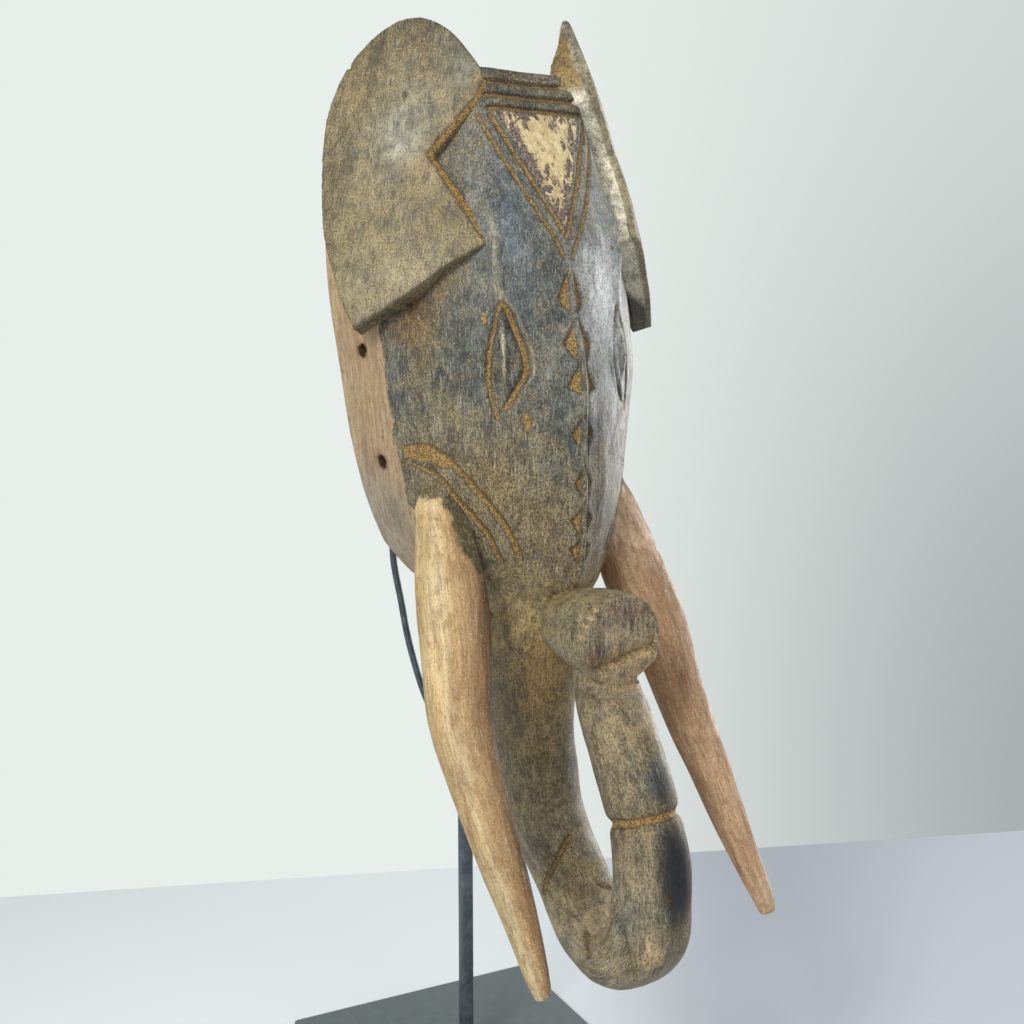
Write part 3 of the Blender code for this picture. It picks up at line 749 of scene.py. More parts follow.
def head_looks(mesh, points, flat, past, state, inner_start):
    """Tints and distances for the head's skin. Points from inner_start on are inside or on the rim."""
    tint = tinted((108, 112, 107), points, face_spots(), 3)
    edge = np.where(flat[:, 0] > 0, 6.0 - past, -3.0 - past)
    edge = edge + 2.6 * lumps(points, 17, 9) + 1.6 * lumps(points, 5, 10)
    paint = np.where(np.abs(flat[:, 0]) > 20, edge + 0.8 * lumps(points, 1.8, 11), FAR)
    paint[inner_start:] = -8
    top = points[:, 2] > HEAD_TOP - 0.3
    paint[top] = 6 * lumps(points[top], 18, 4) + 2
    wall = tinted((166, 140, 106), points, (
        ((-90, -20, 380), (60, 60, 50), (148, 142, 128), 0.9),
        ((-92, -34, 484), (30, 12, 12), (134, 96, 64), 0.6),
        ((-88, -40, 421), (30, 12, 14), (136, 104, 74), 0.6),
        ((-92, -18, 455), (30, 10, 26), (190, 164, 128), 0.6),
        ((-92, -14, 540), (30, 12, 60), (186, 164, 130), 0.6),
        ((-80, -50, 385), (30, 14, 18), (100, 96, 86), 0.7),
        ((90, -20, 380), (60, 60, 60), WALL_GREY, 0.8),
        ((0, -40, 500), (60, 60, 120), (150, 124, 92), 0.7),
    ), 8) * 1.5
    tint = over(tint, np.clip(0.5 - paint, 0, 1), wall)
    pale = np.clip(1 - np.abs(paint - 0.6) / 0.9, 0, 1) * (lumps(points, 11, 15) > 0.05)
    tint = over(tint, np.clip(0.8 * state["glint"] + 0.45 * pale, 0, 1), linear((222, 206, 168)))
    tint = tint * (1 - 0.8 * state["shadow"])[:, None]
    dust = np.full(len(points), 0.30)
    for strength, centre, reach in (
        (0.45, (-46, -100, 400), (44, 50, 50)), (-0.2, (-52, -94, 484), (20, 34, 40)),
        (-0.3, (-78, -66, 510), (14, 30, 26)), (0.3, (-66, -70, 590), (26, 50, 50)),
        (0.25, (0, -110, 345), (60, 40, 30)), (-0.35, (-30, -110, 545), (24, 30, 50)),
        (-0.45, (40, -110, 500), (34, 50, 80)),
    ):
        dust += strength * blotch(points, centre, reach)
    rough = 1.6 * lumps(points, 2.6, 17) + 1.2 * lumps(points, 5, 18)
    groove = np.minimum(state["groove"], past_edges(flat, CHEEK_WEDGE) + 0.7 * rough)
    smear = blotch(points, (-30.5, -114, 445), (3.5, 9, 7), 2)
    groove = np.minimum(groove, (0.55 - smear) * 7 + 1.5 * rough)
    mark = blotch(points, (-48.3, -100, 502), (1.6, 6, 4), 4)
    groove = np.minimum(groove, (0.5 - mark) * 6 + rough)
    kaolin = -past_edges(flat, KAOLIN_CORNERS)
    groove[inner_start:] = FAR
    kaolin[inner_start:] = -FAR
    grain = np.stack([flat[:, 0], points[:, 1], points[:, 2]], axis=1)
    grain[inner_start:] = points[inner_start:]
    store_looks(mesh, tint, grain, groove, paint, np.clip(dust, 0, 1), None, kaolin)


def add_loops(parts, faces, loop, rows):
    """Adds loops of new points after a first one, with the faces between them. It gives the last."""
    for row in rows:
        count = sum(len(part) for part in parts)
        after = np.arange(count, count + len(row))
        faces += ring_faces(loop, after)
        parts.append(row)
        loop = after
    return loop


def make_head():
    """The hollow bowl, and the number of its first point that isn't on the outer form."""
    fine = np.arange(HEAD_TOP - 1.2, 541, -0.72)
    rest = np.linspace(541, HEAD_LOW + 1.2, 190)
    heights = np.concatenate([[HEAD_LOW], rest[::-1], fine[::-1][1:], [HEAD_TOP]])
    places, flats = head_skin(FACE_COLUMNS, WALL_COLUMNS, heights, ROUND_RIM)
    rows, columns = places.shape[:2]
    normals = unit(np.cross(np.gradient(places, axis=1), np.gradient(places, axis=0)))
    outward = (places - (*HOLLOW_CENTRE, 0)) * (1, 1, 0)
    normals *= np.sign((normals * outward).sum(axis=-1).mean())
    points, flat, normals = places.reshape(-1, 3), flats.reshape(-1, 2), normals.reshape(-1, 3)
    row = np.arange(rows)
    body = np.repeat((row >= CAP_ROWS) & (row < rows - CAP_ROWS), columns)
    state = head_details(points, np.stack([flat[:, 0], points[:, 2]], axis=1))
    fade = np.where(body, 1 - smooth_step(flat[:, 1], -4, 8), 0.0)
    lift = state["lift"] * np.where(body, 1, 0.3) - state["cut"] * fade
    near_rim = smooth_step(rim_depth(points[:, 2]) - points[:, 1], 2.2, 8)
    wall_marks = 0.5 * lumps(points, (16, 12, 16), 12) * smooth_step(flat[:, 1], 2, 10)
    points = points + normals * ((lift + wall_marks) * near_rim)[:, None]

    inner_heights = np.linspace(HOLLOW_LOW + 4, HOLLOW_TOP - 4, 56)
    inner = hollow_skin(np.concatenate([[HOLLOW_LOW], inner_heights, [HOLLOW_TOP]]))
    inner_rows, inner_columns = inner.shape[:2]

    parts = [points]
    faces = grid_faces(rows, columns)
    outer_loop = loop_of(rows, columns)
    outer_loop = add_loops(parts, faces, outer_loop, inset_loops(points, outer_loop, ROUND_RIM, 1))
    rim_start = len(points)
    inner_start = sum(len(part) for part in parts)
    parts.append(inner.reshape(-1, 3))
    faces += grid_faces(inner_rows, inner_columns, inner_start)
    inner_loop = loop_of(inner_rows, inner_columns, inner_start)
    insets = inset_loops(np.vstack(parts), inner_loop, ROUND_INNER, -1)
    inner_loop = add_loops(parts, faces, inner_loop, insets)
    faces += zipped(
        outer_loop.tolist(), inner_loop.tolist(), loop_corners(rows, columns),
        loop_corners(inner_rows, inner_columns),
    )
    points = np.vstack(parts)
    extra = len(points) - len(flat)
    flat = np.vstack([flat, np.stack([points[len(flat):, 0], np.full(extra, 40.0)], axis=1)])
    for key, value in (("groove", FAR), ("shadow", 0.0), ("glint", 0.0)):
        state[key] = np.concatenate([state[key], np.full(extra, value)])
    mesh = mesh_of("mask_head", points, faces)
    surface = np.stack([flat[:, 0], points[:, 2]], axis=1)
    head_looks(mesh, points, surface, flat[:, 1], state, rim_start)
    facing_out(mesh)
    return mesh, rim_start


def ring_faces(first, second):
    """Four-sided faces between two closed loops of the same length."""
    after = np.roll(first, -1), np.roll(second, -1)
    return np.stack([first, after[0], after[1], second], axis=1).tolist()


def hollow_skin(heights):
    """Rows of the hollow's adzed surface, closed at the bottom and the top."""
    rows = []
    for height in heights:
        fine = spline(section_at(height), np.linspace(0, 6, SECTION_STEPS // 2 + 1))
        step = np.gradient(fine, axis=0)
        normal = unit(np.stack([step[:, 1], -step[:, 0]], axis=1))
        away = (normal * (fine - HOLLOW_CENTRE)).sum(axis=1).mean()
        inset = fine - normal * math.copysign(WALL, away)
        inset[0, 0] = 0
        inset[:, 0] = np.maximum(inset[:, 0], 0)
        keep = inset[:, 1] < rim_depth(height) - ROUND_INNER
        keep[:10] = True
        inset = np.vstack([inset[keep], (inset[keep][-1, 0], rim_depth(height) - ROUND_INNER)])
        run = run_along(inset)
        half = read_at(np.linspace(0, run[-1], 31), run, inset)
        whole = np.vstack([half[:0:-1] * (-1, 1), half])
        rows.append(np.column_stack([whole, np.full(len(whole), height)]))
    steps = ((1, 0), (0.6, 0), (0.3, 0.2), (0.12, 1.2))
    caps = []
    for place, sign in ((0, 1), (-1, -1)):
        end = rim_depth(heights[place]) - ROUND_INNER
        for share, rise in steps:
            row = rows[place].copy()
            row[:, 1] += (end - row[:, 1]) * share
            row[:, 2] += rise * sign
            caps.append(row)
    places = np.array(caps[:4] + rows[1:-1] + caps[:3:-1])
    flat = places.reshape(-1, 3)
    toward = unit(np.array((0.0, -30.0, 0.0)) - flat * (1, 1, 0))
    marks = 0.9 * lumps(flat, (15, 15, 11), 21) + 0.4 * lumps(flat, (6, 6, 5), 22)
    marks *= smooth_step(rim_depth(flat[:, 2]) - flat[:, 1], 2, 10)
    return (flat + toward * marks[:, None]).reshape(places.shape)


def drill_holes(obj):
    """Cuts the cord holes through the back edge, a little ragged where the drill came out."""
    for side in (-1, 1):
        for height, depth in RIM_HOLES:
            bm = bmesh.new()
            place = Matrix.Translation(Vector((side * 92, depth, height)) * MM)
            turn = Matrix.Rotation(math.radians(90), 4, "Y")
            bmesh.ops.create_cone(
                bm, cap_ends=True, segments=28, radius1=HOLE_RADIUS * MM,
                radius2=HOLE_RADIUS * MM, depth=66 * MM, matrix=place @ turn,
            )
            for vert in bm.verts:
                away = vert.co - Vector((vert.co.x, depth * MM, height * MM))
                swell = 1 + 0.09 * math.sin(5 * math.atan2(away.z, away.y) + height + side)
                vert.co = vert.co + away * (swell - 1)
            drill = placed("drill", bpy.data.meshes.new("drill"))
            bm.to_mesh(drill.data)
            bm.free()
            cut = obj.modifiers.new("Hole", "BOOLEAN")
            cut.object = drill
            obj.data = evaluated(obj)
            obj.modifiers.remove(cut)
            bpy.data.objects.remove(drill)
    points = points_of(obj.data)
    near = np.zeros(len(points), bool)
    for height, depth in RIM_HOLES:
        away = np.hypot(points[:, 1] - depth, points[:, 2] - height)
        near |= (away < HOLE_RADIUS + 0.9) & (np.abs(points[:, 0]) > 50)
    tints = np.empty(len(points) * 4, np.float32)
    stored = obj.data.attributes["tint"]
    stored.data.foreach_get("color", tints)
    tints = tints.reshape(-1, 4)
    tints[near] = rgba((84, 62, 44))
    stored.data.foreach_set("color", tints.ravel())
    for name, value in (("groove", FAR), ("paint", -6.0), ("kaolin", -FAR)):
        stored = obj.data.attributes[name]
        flat = np.empty(len(points), np.float32)
        stored.data.foreach_get("value", flat)
        flat[near] = value
        stored.data.foreach_set("value", flat)


# ---------------------------------------------------------------- ears
def ear_outline():
    """The ear's outline, with the zigzag of its front edge."""
    back = even_spline(EAR_BACK_EDGE, 90)
    lower = even_spline(EAR_LOWER_EDGE, 30)
    return np.vstack([back, EAR_ZIGZAG[1:3], lower[:-1]])


def make_ear_mesh(hand, side, skin):
    """An ear plate, its places in the frame, and its places and distances while it lay flat."""
    outline = ear_outline()
    count = len(outline)
    taper = np.clip((outline[:, 1] - EAR_TAPER_START) / (EAR_HEIGHT - EAR_TAPER_START), 0, None)
    thick = EAR_THICK * (1 - (1 - EAR_TOP_SHARE) * taper)
    front = np.column_stack([outline, np.zeros(count)])
    back = np.column_stack([outline, -thick])
    faces = [list(range(count)), list(range(2 * count - 1, count - 1, -1))]
    faces += ring_faces(np.arange(count), np.arange(count, 2 * count))
    mesh = remeshed(np.vstack([front, back]), faces, 0.95, 6)
    place = points_of(mesh)
    normal = normals_of(mesh)
    along, up, out = place.T
    zig, _ = to_path(place[:, :2], np.array(EAR_ZIGZAG, float))
    low, _ = to_path(place[:, :2], even_spline(EAR_LOWER_EDGE, 12))
    edge, _ = to_path(place[:, :2], even_spline(EAR_BACK_EDGE, 40))
    wide = np.interp(up, (54, 100, 134, 146), (6.5, 3.6, 4.0, 2.5))
    on_front = smooth_step(out, -4.5, -2.5)
    if side > 0:
        thicker = np.interp(up, (20, 90, 135, 150, 158, 188), (1.15, 1.4, 1.5, 1.9, 1.9, 1.0))
        place[:, 2] *= 1 + (thicker - 1) * smooth_step(-along, 10, 40)
    bevel = np.clip(wide - zig, 0, None) * on_front
    place[:, 2] -= (0.75 if side < 0 else 0.35) * bevel
    flat = place.copy()
    marks = 0.35 * lumps(flat, (16, 26, 30), 31) + 0.16 * lumps(flat, (5, 9, 9), 32)
    place += normal * marks[:, None]
    details = {
        "groove": np.where(on_front > 0.4, zig - wide + 0.3, FAR), "low": low, "edge": edge,
        "zig": zig, "flat": flat, "front": on_front,
    }
    turn = np.array(Matrix.Rotation(math.radians(EAR_TURN_DEG[hand]), 3, "Z"))
    axis_along = unit(turn @ np.array(EAR_ALONG))
    axis_up = turn @ np.array(EAR_UP)
    axis_up = unit(axis_up - axis_along * (axis_up @ axis_along))
    axis_out = np.cross(axis_along, axis_up)
    along, up, out = place.T
    bow = EAR_BOW_LEVEL - ((along - EAR_MIDDLE) / EAR_HALF_RUN) ** 2
    belly = np.sin(math.pi * np.clip(up, 0, EAR_HEIGHT) / EAR_HEIGHT) ** 2
    out = out + EAR_SAG[hand] * bow + EAR_BELLY[hand] * belly
    up = up * EAR_RISE[hand]
    spots = EAR_CORNER + np.outer(along, axis_along) + np.outer(up, axis_up)
    spots = (spots + np.outer(out, axis_out)) * (side, 1, 1)
    spots = kept_in_wall(spots, skin)
    move_points(mesh, spots)
    facing_out(mesh)
    return mesh, spots, details


def ear_looks(mesh, spots, details, side):
    """Stores an ear's looks. The left one is painted pale towards the head, where only that side shows,
    as painted light; it also gets painted bounce light on its lower edge and is painted lighter towards
    its top.
    """
    flat, front = details["flat"], details["front"]
    tint = 1.22 * tinted((140, 129, 100), flat, (
        ((-10, 176, 0), (60, 26, 40), (86, 80, 62), 0.9),
        ((-18, 112, 0), (22, 30, 40), (164, 160, 142), 0.8),
        ((-48, 152, 0), (12, 22, 40), (124, 122, 106), 0.8),
        ((26, 80, 0), (10, 60, 40), (104, 96, 74), 0.8),
        ((-4, 60, 0), (24, 24, 40), (150, 136, 100), 0.6),
        ((-20, 30, 0), (40, 24, 40), (170, 160, 128), 0.7),
        ((18, 150, 0), (14, 22, 40), (140, 120, 82), 0.6),
        ((-46, 66, 0), (18, 16, 40), (118, 107, 78), 0.8),
        ((-30, 90, 0), (12, 20, 40), (142, 124, 86), 0.7),
    ), 40)
    back = 1 - front
    if side > 0:
        # painted light: the left ear's side towards the head, and a little of its front, made pale
        tint = over(tint, 0.15 + 0.75 * back, linear((246, 237, 210)) * PAINT_LEVEL)
        wedge = smooth_step(flat[:, 1], 136, 146) * smooth_step(-flat[:, 2], 4, 6) * back
        tint = over(tint, wedge, linear((146, 118, 66)))
        # painted bounce light on the downward faces of the lower edge
        low_face = (1 - smooth_step(details["low"], 2.0, 4.5)) * back
        tint = tint * (1 + 0.55 * low_face)[:, None]
        end = smooth_step(9 - 1.2 * flat[:, 2] - flat[:, 1], -3, 3) * low_face
        tint = over(tint, end, linear((92, 88, 74)) * PAINT_LEVEL)
        # painted light and shade: lighter towards the top, darker at the step where the front tip meets
        # the head
        shaded_step_spot = blotch(spots, (43, -104, 547), (9, 7, 7), 4)
        tint = tint * (0.64 + 0.56 * smooth_step(spots[:, 2], 515, 580) - 0.45 * shaded_step_spot)[:, None]
    else:
        tint = over(tint, 0.75 * back, linear((72, 66, 52)))
    # painted shade along the lower edge, where the ear's thickness faces down; the back edge is
    # darkened too
    rim = np.exp(-(details["low"] / 1.6) ** 2) * 0.6 + np.exp(-(details["edge"] / 1.5) ** 2) * 0.5
    rim = np.clip(rim, 0, 0.7) * (1 if side < 0 else 0.4)
    tint = over(tint, rim, linear((70, 60, 42)))
    warm = np.exp(-((details["zig"] / 6.0) ** 2)) * front * (0.5 if side < 0 else 0.15)
    tint = over(tint, warm, linear((182, 146, 84)) * PAINT_LEVEL)
    crack, _ = to_path(flat[:, :2], ((31, 106), (24, 113), (17.5, 122)))
    gouge = blotch(flat, (-16, 137, 0), (1.6, 4.5, 30), 4)
    scuff, _ = to_path(flat[:, :2], ((-7, 112), (-12, 121), (-15, 130)))
    scuff_low, _ = to_path(flat[:, :2], ((-12, 98), (-17, 108)))
    dark = np.clip(1.15 - crack, 0, 1) * (side < 0) + gouge
    light = np.clip(1 - scuff / 1.6, 0, 1) + 0.6 * np.clip(1 - scuff_low / 3, 0, 1)
    light = light * (side < 0) * front
    tint = tint * (1 - 0.8 * np.clip(dark, 0, 1))[:, None]
    tint = over(tint, 0.4 * np.clip(light, 0, 1), linear((196, 194, 180)))
    dust = 0.55 - 0.45 * blotch(flat, (-18, 112, 0), (24, 34, 40))
    dust -= 0.5 * blotch(flat, (-48, 152, 0), (14, 22, 40))
    dust += 0.3 * warm - (0.3 if side > 0 else 0.0)
    groove = details["groove"] + (1.5 if side < 0 else FAR)
    store_looks(mesh, tint, flat[:, [0, 2, 1]], None, None, np.clip(dust, 0, 1))
    stored = mesh.attributes["groove"]
    stored.data.foreach_set("value", groove.astype(np.float32))


# ---------------------------------------------------------------- tubes: trunk, tusks, arms
def rings(rows, around, pinch=2.0):
    """Rings of points square to a path of (x, y, z, half width, half thickness) rows."""
    centre, wide, deep = rows[:, :3], rows[:, 3], rows[:, 4]
    way = unit(np.gradient(centre, axis=0))
    across = unit(np.array((1.0, 0, 0)) - way * way[:, :1])
    out = np.cross(way, across)
    angle = np.linspace(0, 2 * math.pi, around, endpoint=False)
    cos, sin = np.cos(angle), np.sin(angle)
    reach = (np.abs(cos) ** pinch + np.abs(sin) ** pinch) ** (-1 / pinch)
    points = centre[:, None] + across[:, None] * (wide[:, None] * reach * cos)[..., None]
    return points + out[:, None] * (deep[:, None] * reach * sin)[..., None]


def tube_faces(count, around, start=0):
    faces = grid_faces(count, around, start, closed=True)
    faces.append(list(range(start, start + around)))
    last = start + (count - 1) * around
    faces.append(list(range(last + around - 1, last - 1, -1)))
    return faces


def make_trunk_mesh(head_tree):
    """The trunk's loop and its tip as one skin, with the root laid over the chin."""
    points, faces, start, around = [], [], 0, 72
    for rows, count, pinch in ((TRUNK_STATIONS, 220, 2.4), (TIP_STATIONS, 40, 2.05)):
        path = np.column_stack([np.zeros(count), even_spline(np.array(rows, float), count)])
        points.append(rings(path, around, pinch).reshape(-1, 3))
        faces += tube_faces(count, around, start)
        start += count * around
    mesh = remeshed(np.vstack(points), faces, 1.1, 5)
    place, normal = points_of(mesh), normals_of(mesh)
    place = trunk_details(mesh, place, normal)
    near = (place[:, 2] > 300) & (place[:, 1] > -150)
    place[near] = feathered(place[near], head_tree)
    place[near] = kept_in_wall(place[near], head_tree)
    move_points(mesh, place)
    facing_out(mesh)
    return mesh


def trunk_grain(place):
    """Coordinates that run along the loop of the trunk: across, out from its middle, along."""
    steps = 220
    path = even_spline(np.array(TRUNK_STATIONS, float)[:, :2], steps)
    path = np.column_stack([np.zeros(steps), path])
    _, along = to_path(place, path)
    run = np.linalg.norm(np.diff(path, axis=0), axis=1).mean()
    middle = read_at(along, np.arange(steps), path)
    way = unit(read_at(along, np.arange(steps), np.gradient(path, axis=0)))
    out = ((place - middle) * np.cross(way, (1.0, 0, 0))).sum(axis=1)
    grain = np.stack([place[:, 0], out, along * run], axis=1)
    tip = (place[:, 2] > 298) & (place[:, 1] < -112)
    grain[tip] = place[tip]
    return grain


def trunk_spots():
    """Soft spots of colour on the trunk, after those that it shares with the head."""
    return face_spots() + [
        ((0, -78, 285), (40, 40, 40), (134, 110, 62), 0.8),
        ((-26, -70, 280), (16, 30, 44), (74, 70, 56), 0.7),
        ((-10, -100, 290), (14, 16, 30), (126, 92, 44), 0.6),
        ((0, -80, 235), (30, 30, 26), (80, 68, 46), 0.7),
        ((14, -110, 240), (12, 30, 50), (70, 68, 62), 0.6),
        ((0, -104, 195), (34, 26, 24), (140, 133, 117), 0.85),
        ((-16, -130, 165), (18, 24, 22), (150, 128, 84), 0.7),
        ((0, -140, 155), (34, 30, 24), (206, 192, 160), 0.88),
        ((-14, -190, 190), (18, 24, 20), (118, 119, 110), 0.85),
        ((-6, -176, 154), (24, 24, 14), (152, 138, 116), 0.8),
        ((-15, -206, 172), (9, 12, 14), (176, 150, 110), 0.8),
        ((3, -207, 210), (15, 14, 36), (40, 42, 48), 0.97),
        ((1, -193, 257), (14, 12, 14), (66, 70, 74), 0.9),
        ((-22, -190, 225), (9, 16, 24), (128, 116, 92), 0.8),
        ((0, -172, 285), (26, 16, 20), (138, 120, 88), 0.9),
        ((-12, -165, 268), (12, 14, 14), (124, 118, 100), 0.6),
        ((-22, -135, 330), (9, 26, 26), (136, 134, 107), 0.9),
        ((4, -162, 330), (20, 6, 12), (134, 118, 96), 0.95),
        ((4, -162, 347), (22, 6, 9), (104, 78, 66), 0.9),
        ((-17, -162, 323), (9, 6, 9), (98, 62, 54), 0.9),
        ((2, -162, 309), (28, 7, 5), (160, 126, 94), 0.9),
        ((-20, -160, 304), (10, 8, 4), (86, 58, 46), 0.8),
    ]


def trunk_looks(mesh, place, normal, groove, cut, chips, lip):
    """Stores the trunk's looks. The lip is a share, 1 along the pale lip of the tip."""
    x, y, z = place.T
    tint = tinted((118, 106, 80), place, trunk_spots(), 55) * 1.66
    # painted shade on the sides of the front limb that face the mask's left
    tint = tint * (1 - 0.35 * (normal[:, 0] > 0.75) * (y < -150) * (z < 300))[:, None]
    tint = over(tint, 0.8 * lip, linear((176, 144, 92)))
    tint = over(tint, blotch(place, (-4, -211, 199), (3.5, 4, 5), 3), linear((134, 84, 48)))
    tint = over(tint, np.clip(chips / 1.6, 0, 1), linear((206, 182, 138)))
    # painted shade in the cuts, darker where they are deeper
    tint = tint * (1 - np.clip(cut / 5, 0, 0.6))[:, None]
    # painted highlight along the edge of the tip's flat face
    edge = (normal[:, 1] > -0.9) & (normal[:, 1] < -0.45) & (y < -156) & (z > 318) & (x < 10)
    tint = over(tint, 0.5 * edge, linear((186, 172, 138)))
    ragged = place + 2.0 * np.stack([lumps(place, (3, 3, 9), 59)] * 3, axis=1)
    worn = blotch(ragged, (3, -207, 209), (15, 15, 35), 4)
    worn += 0.6 * blotch(ragged, (5, -193, 255), (12, 12, 12), 4)
    dust = 0.42 - 0.6 * np.clip(worn, 0, 1) - 0.25 * blotch(place, (0, -162, 335), (26, 10, 20))
    dust, worn = np.clip(dust, 0, 1), np.clip(worn, 0, 1)
    store_looks(mesh, tint, trunk_grain(place), groove, None, dust, worn)


def trunk_details(mesh, place, normal):
    """Carves the trunk and stores its looks. It gives the moved places."""
    x, y, z = place.T
    lift = 0.5 * lumps(place, (14, 14, 26), 51) + 0.2 * lumps(place, (5, 5, 10), 52)
    groove = np.full(len(place), FAR)
    front_limb = (y < -150) & (z > 200) & (z < 275)
    ring = 0.94 * (z - 234.3 + 0.355 * (y + 182.6) + 0.8 * lumps(place, 12, 53))
    ring = np.where(front_limb, ring, FAR)
    cut = 2.3 * np.exp(-((ring / 3.0) ** 2)) + 0.9 * np.exp(-((ring / 8.0) ** 2))
    groove = np.minimum(groove, np.abs(ring) - 1.7)
    for half, depth, ochre, path in TRUNK_CUTS:
        gap, along = to_path(place, even_spline(np.array(path, float), 16))
        share = faded_ends(along, 15, -0.2, 3)
        cut += depth * share * np.clip(1 - gap / half, 0, 1) ** 1.1
        if ochre > 0:
            groove = np.minimum(groove, np.where(share > 0.1, gap - ochre * share, FAR))
    flat_face = smooth_step(-y, 158.0, 161.0) * (z > 303)
    place[:, 1] = y = y * (1 - flat_face) + TIP_FACE_DEPTH * flat_face
    on_face = (normal[:, 1] < -0.6) & (y < -154) & (z > 300)
    step = np.interp(x, (-26, -14, 0, 12, 26), (312.5, 315, 318, 320.5, 323))
    above = z - step + 0.6 * lumps(place, 6, 58)
    lip_cut = np.where(above > 0, np.exp(-above / 4.5), np.clip(1 + above / 1.8, 0, 1)) * on_face
    cut += 2.9 * lip_cut
    lift += 1.6 * np.exp(-(((above + 5.5) / 3.2) ** 2)) * (y < -146) * (above < 0) * (z > 298)
    lift -= cut
    chips = np.zeros(len(place))
    for depth, centre, reach in (
        (1.9, (-22.5, -161, 339), (3.4, 4.0, 1.6)), (1.6, (-21, -162, 343.5), (3.4, 3.5, 1.4)),
        (1.4, (-18.5, -162, 348), (3.0, 3.5, 1.4)), (1.3, (-24.5, -160, 333), (3.0, 4.0, 1.6)),
    ):
        chips += blotch(place, centre, reach, 4) * depth
    lift -= chips
    groove[~front_limb & (groove > 30)] = FAR
    lip = np.exp(-(((above - 1.5) / 4.2) ** 2)) * on_face
    trunk_looks(mesh, place, normal, groove, cut, chips, lip)
    return place + normal * lift[:, None]


def near_tusk_shaded_tint(centre, radius, place, grain):
    """Painted light and shade across the right tusk, bright on its outer side and dark towards the
    trunk as the camera's view sees them, darker and ruddier lower down.
    """
    off = (LOOK_RIGHT[0] * (place[:, 0] - centre[:, 0]) + LOOK_RIGHT[1] * (place[:, 1] - centre[:, 1]))
    off = off / radius + 0.10 * lumps(grain, (8, 8, 30), 68)
    tint = read_at(off, [across for across, _ in TUSK_LIGHT_AND_SHADE], linear([c for _, c in TUSK_LIGHT_AND_SHADE]))
    tint = tint * (1 + 0.20 * lumps(grain, (10, 10, 26), 69))[:, None]
    tint *= np.interp(place[:, 2], (170, 240, 320), (0.70, 0.76, 1.0))[:, None]
    ruddy = smooth_step(lumps(grain, (7, 7, 40), 70), 0.0, 0.5) * 0.55
    return over(tint, ruddy, tint * (0.86, 0.74, 0.62))


def far_tusk_tint(place):
    """Soft spots of colour on the left tusk."""
    return 1.584 * tinted((158, 126, 94), place, (
        ((66, -105, 340), (16, 34, 40), (128, 94, 64), 0.8),
        ((62, -100, 380), (18, 24, 34), (206, 176, 146), 0.8),
        ((70, -130, 280), (8, 30, 50), (120, 86, 56), 0.7),
        ((80, -160, 220), (14, 24, 50), (178, 146, 114), 0.7),
        ((84, -196, 170), (10, 14, 18), (186, 160, 134), 0.7),
    ), 74)


def make_tusk_mesh(hand, side, skin):
    """A tusk of bare wood with a knife-cut tip, painted where its root meets the face."""
    path = even_spline(np.array(TUSK_STATIONS[hand], float), 250)
    path[:, 0] *= side
    way = unit(path[-1, :3] - path[-2, :3])
    *last, reach = path[-1]
    tip = [
        (*(last + way * step), reach * share)
        for step, share in ((0.5, 0.97), (1.1, 0.86), (1.6, 0.66), (1.9, 0.4), (2.0, 0.12))
    ]
    path = np.vstack([path, tip])
    rows = np.column_stack([path, path[:, 3]])
    count, around = len(rows), 60
    flat = rings(rows, around).reshape(-1, 3)
    centre = np.repeat(rows[:, :3], around, axis=0)
    out = unit(flat - centre)
    run = np.repeat(run_along(rows[:, :3]), around)
    angle = np.tile(np.linspace(0, 2 * math.pi, around, endpoint=False), count)
    radius = np.repeat(rows[:, 3], around)
    grain = np.stack([np.cos(angle) * radius, np.sin(angle) * radius, run], axis=1)
    seed = 61 if side < 0 else 71
    marks = 0.45 * lumps(grain, (9, 9, 34), seed) + 0.2 * lumps(grain, (3, 3, 16), seed + 1)
    facets = 0.25 * np.cos(7 * angle + 0.6 * np.sin(run / 45)) * np.clip(radius / 12, 0, 1)
    end = np.clip(1 - (run[-1] - run) / 14, 0, 1)
    cuts = end * 0.9 * np.abs(np.sin(2.5 * angle + 0.7))
    place = flat + out * (marks + facets - cuts * radius / 6)[:, None]
    mesh = mesh_of("tusk_" + hand, place, tube_faces(count, around))
    facing_out(mesh)
    near = run < 75
    place[near] = swollen(place[near], normals_of(mesh)[near], skin, 5.0)
    place[near] = kept_in_wall(place[near], skin)
    move_points(mesh, place)
    x, y, z = place.T
    tint = near_tusk_shaded_tint(centre, radius, place, grain) if side < 0 else far_tusk_tint(place)
    slant = LOOK_RIGHT[1] * y - LOOK_RIGHT[0] * np.abs(x)
    paint = 0.475 * (z - (385 if side < 0 else 412) + LOOK_BEND * slant)
    paint = np.maximum(paint, 0.5 * (z - 402))
    paint += 2.2 * lumps(place, 9, seed + 5) + 1.2 * lumps(place, 3, seed + 6)
    tint = over(tint, np.clip(0.5 + paint, 0, 1), linear((106, 96, 66)) * PAINT_LEVEL)
    store_looks(mesh, tint, grain, None, paint, np.where(paint > 0, 0.55, 0.12))
    return mesh


def make_arm_mesh(side):
    path = even_spline(np.array(ARM_ROUTE, float), 200) * (side, 1, 1)
    dents = ROD_RADIUS * (1 + 0.015 * lumps(path, 9, 81))
    rows = np.column_stack([path, dents, dents])
    return mesh_of("arm", rings(rows, 24).reshape(-1, 3), tube_faces(len(rows), 24))


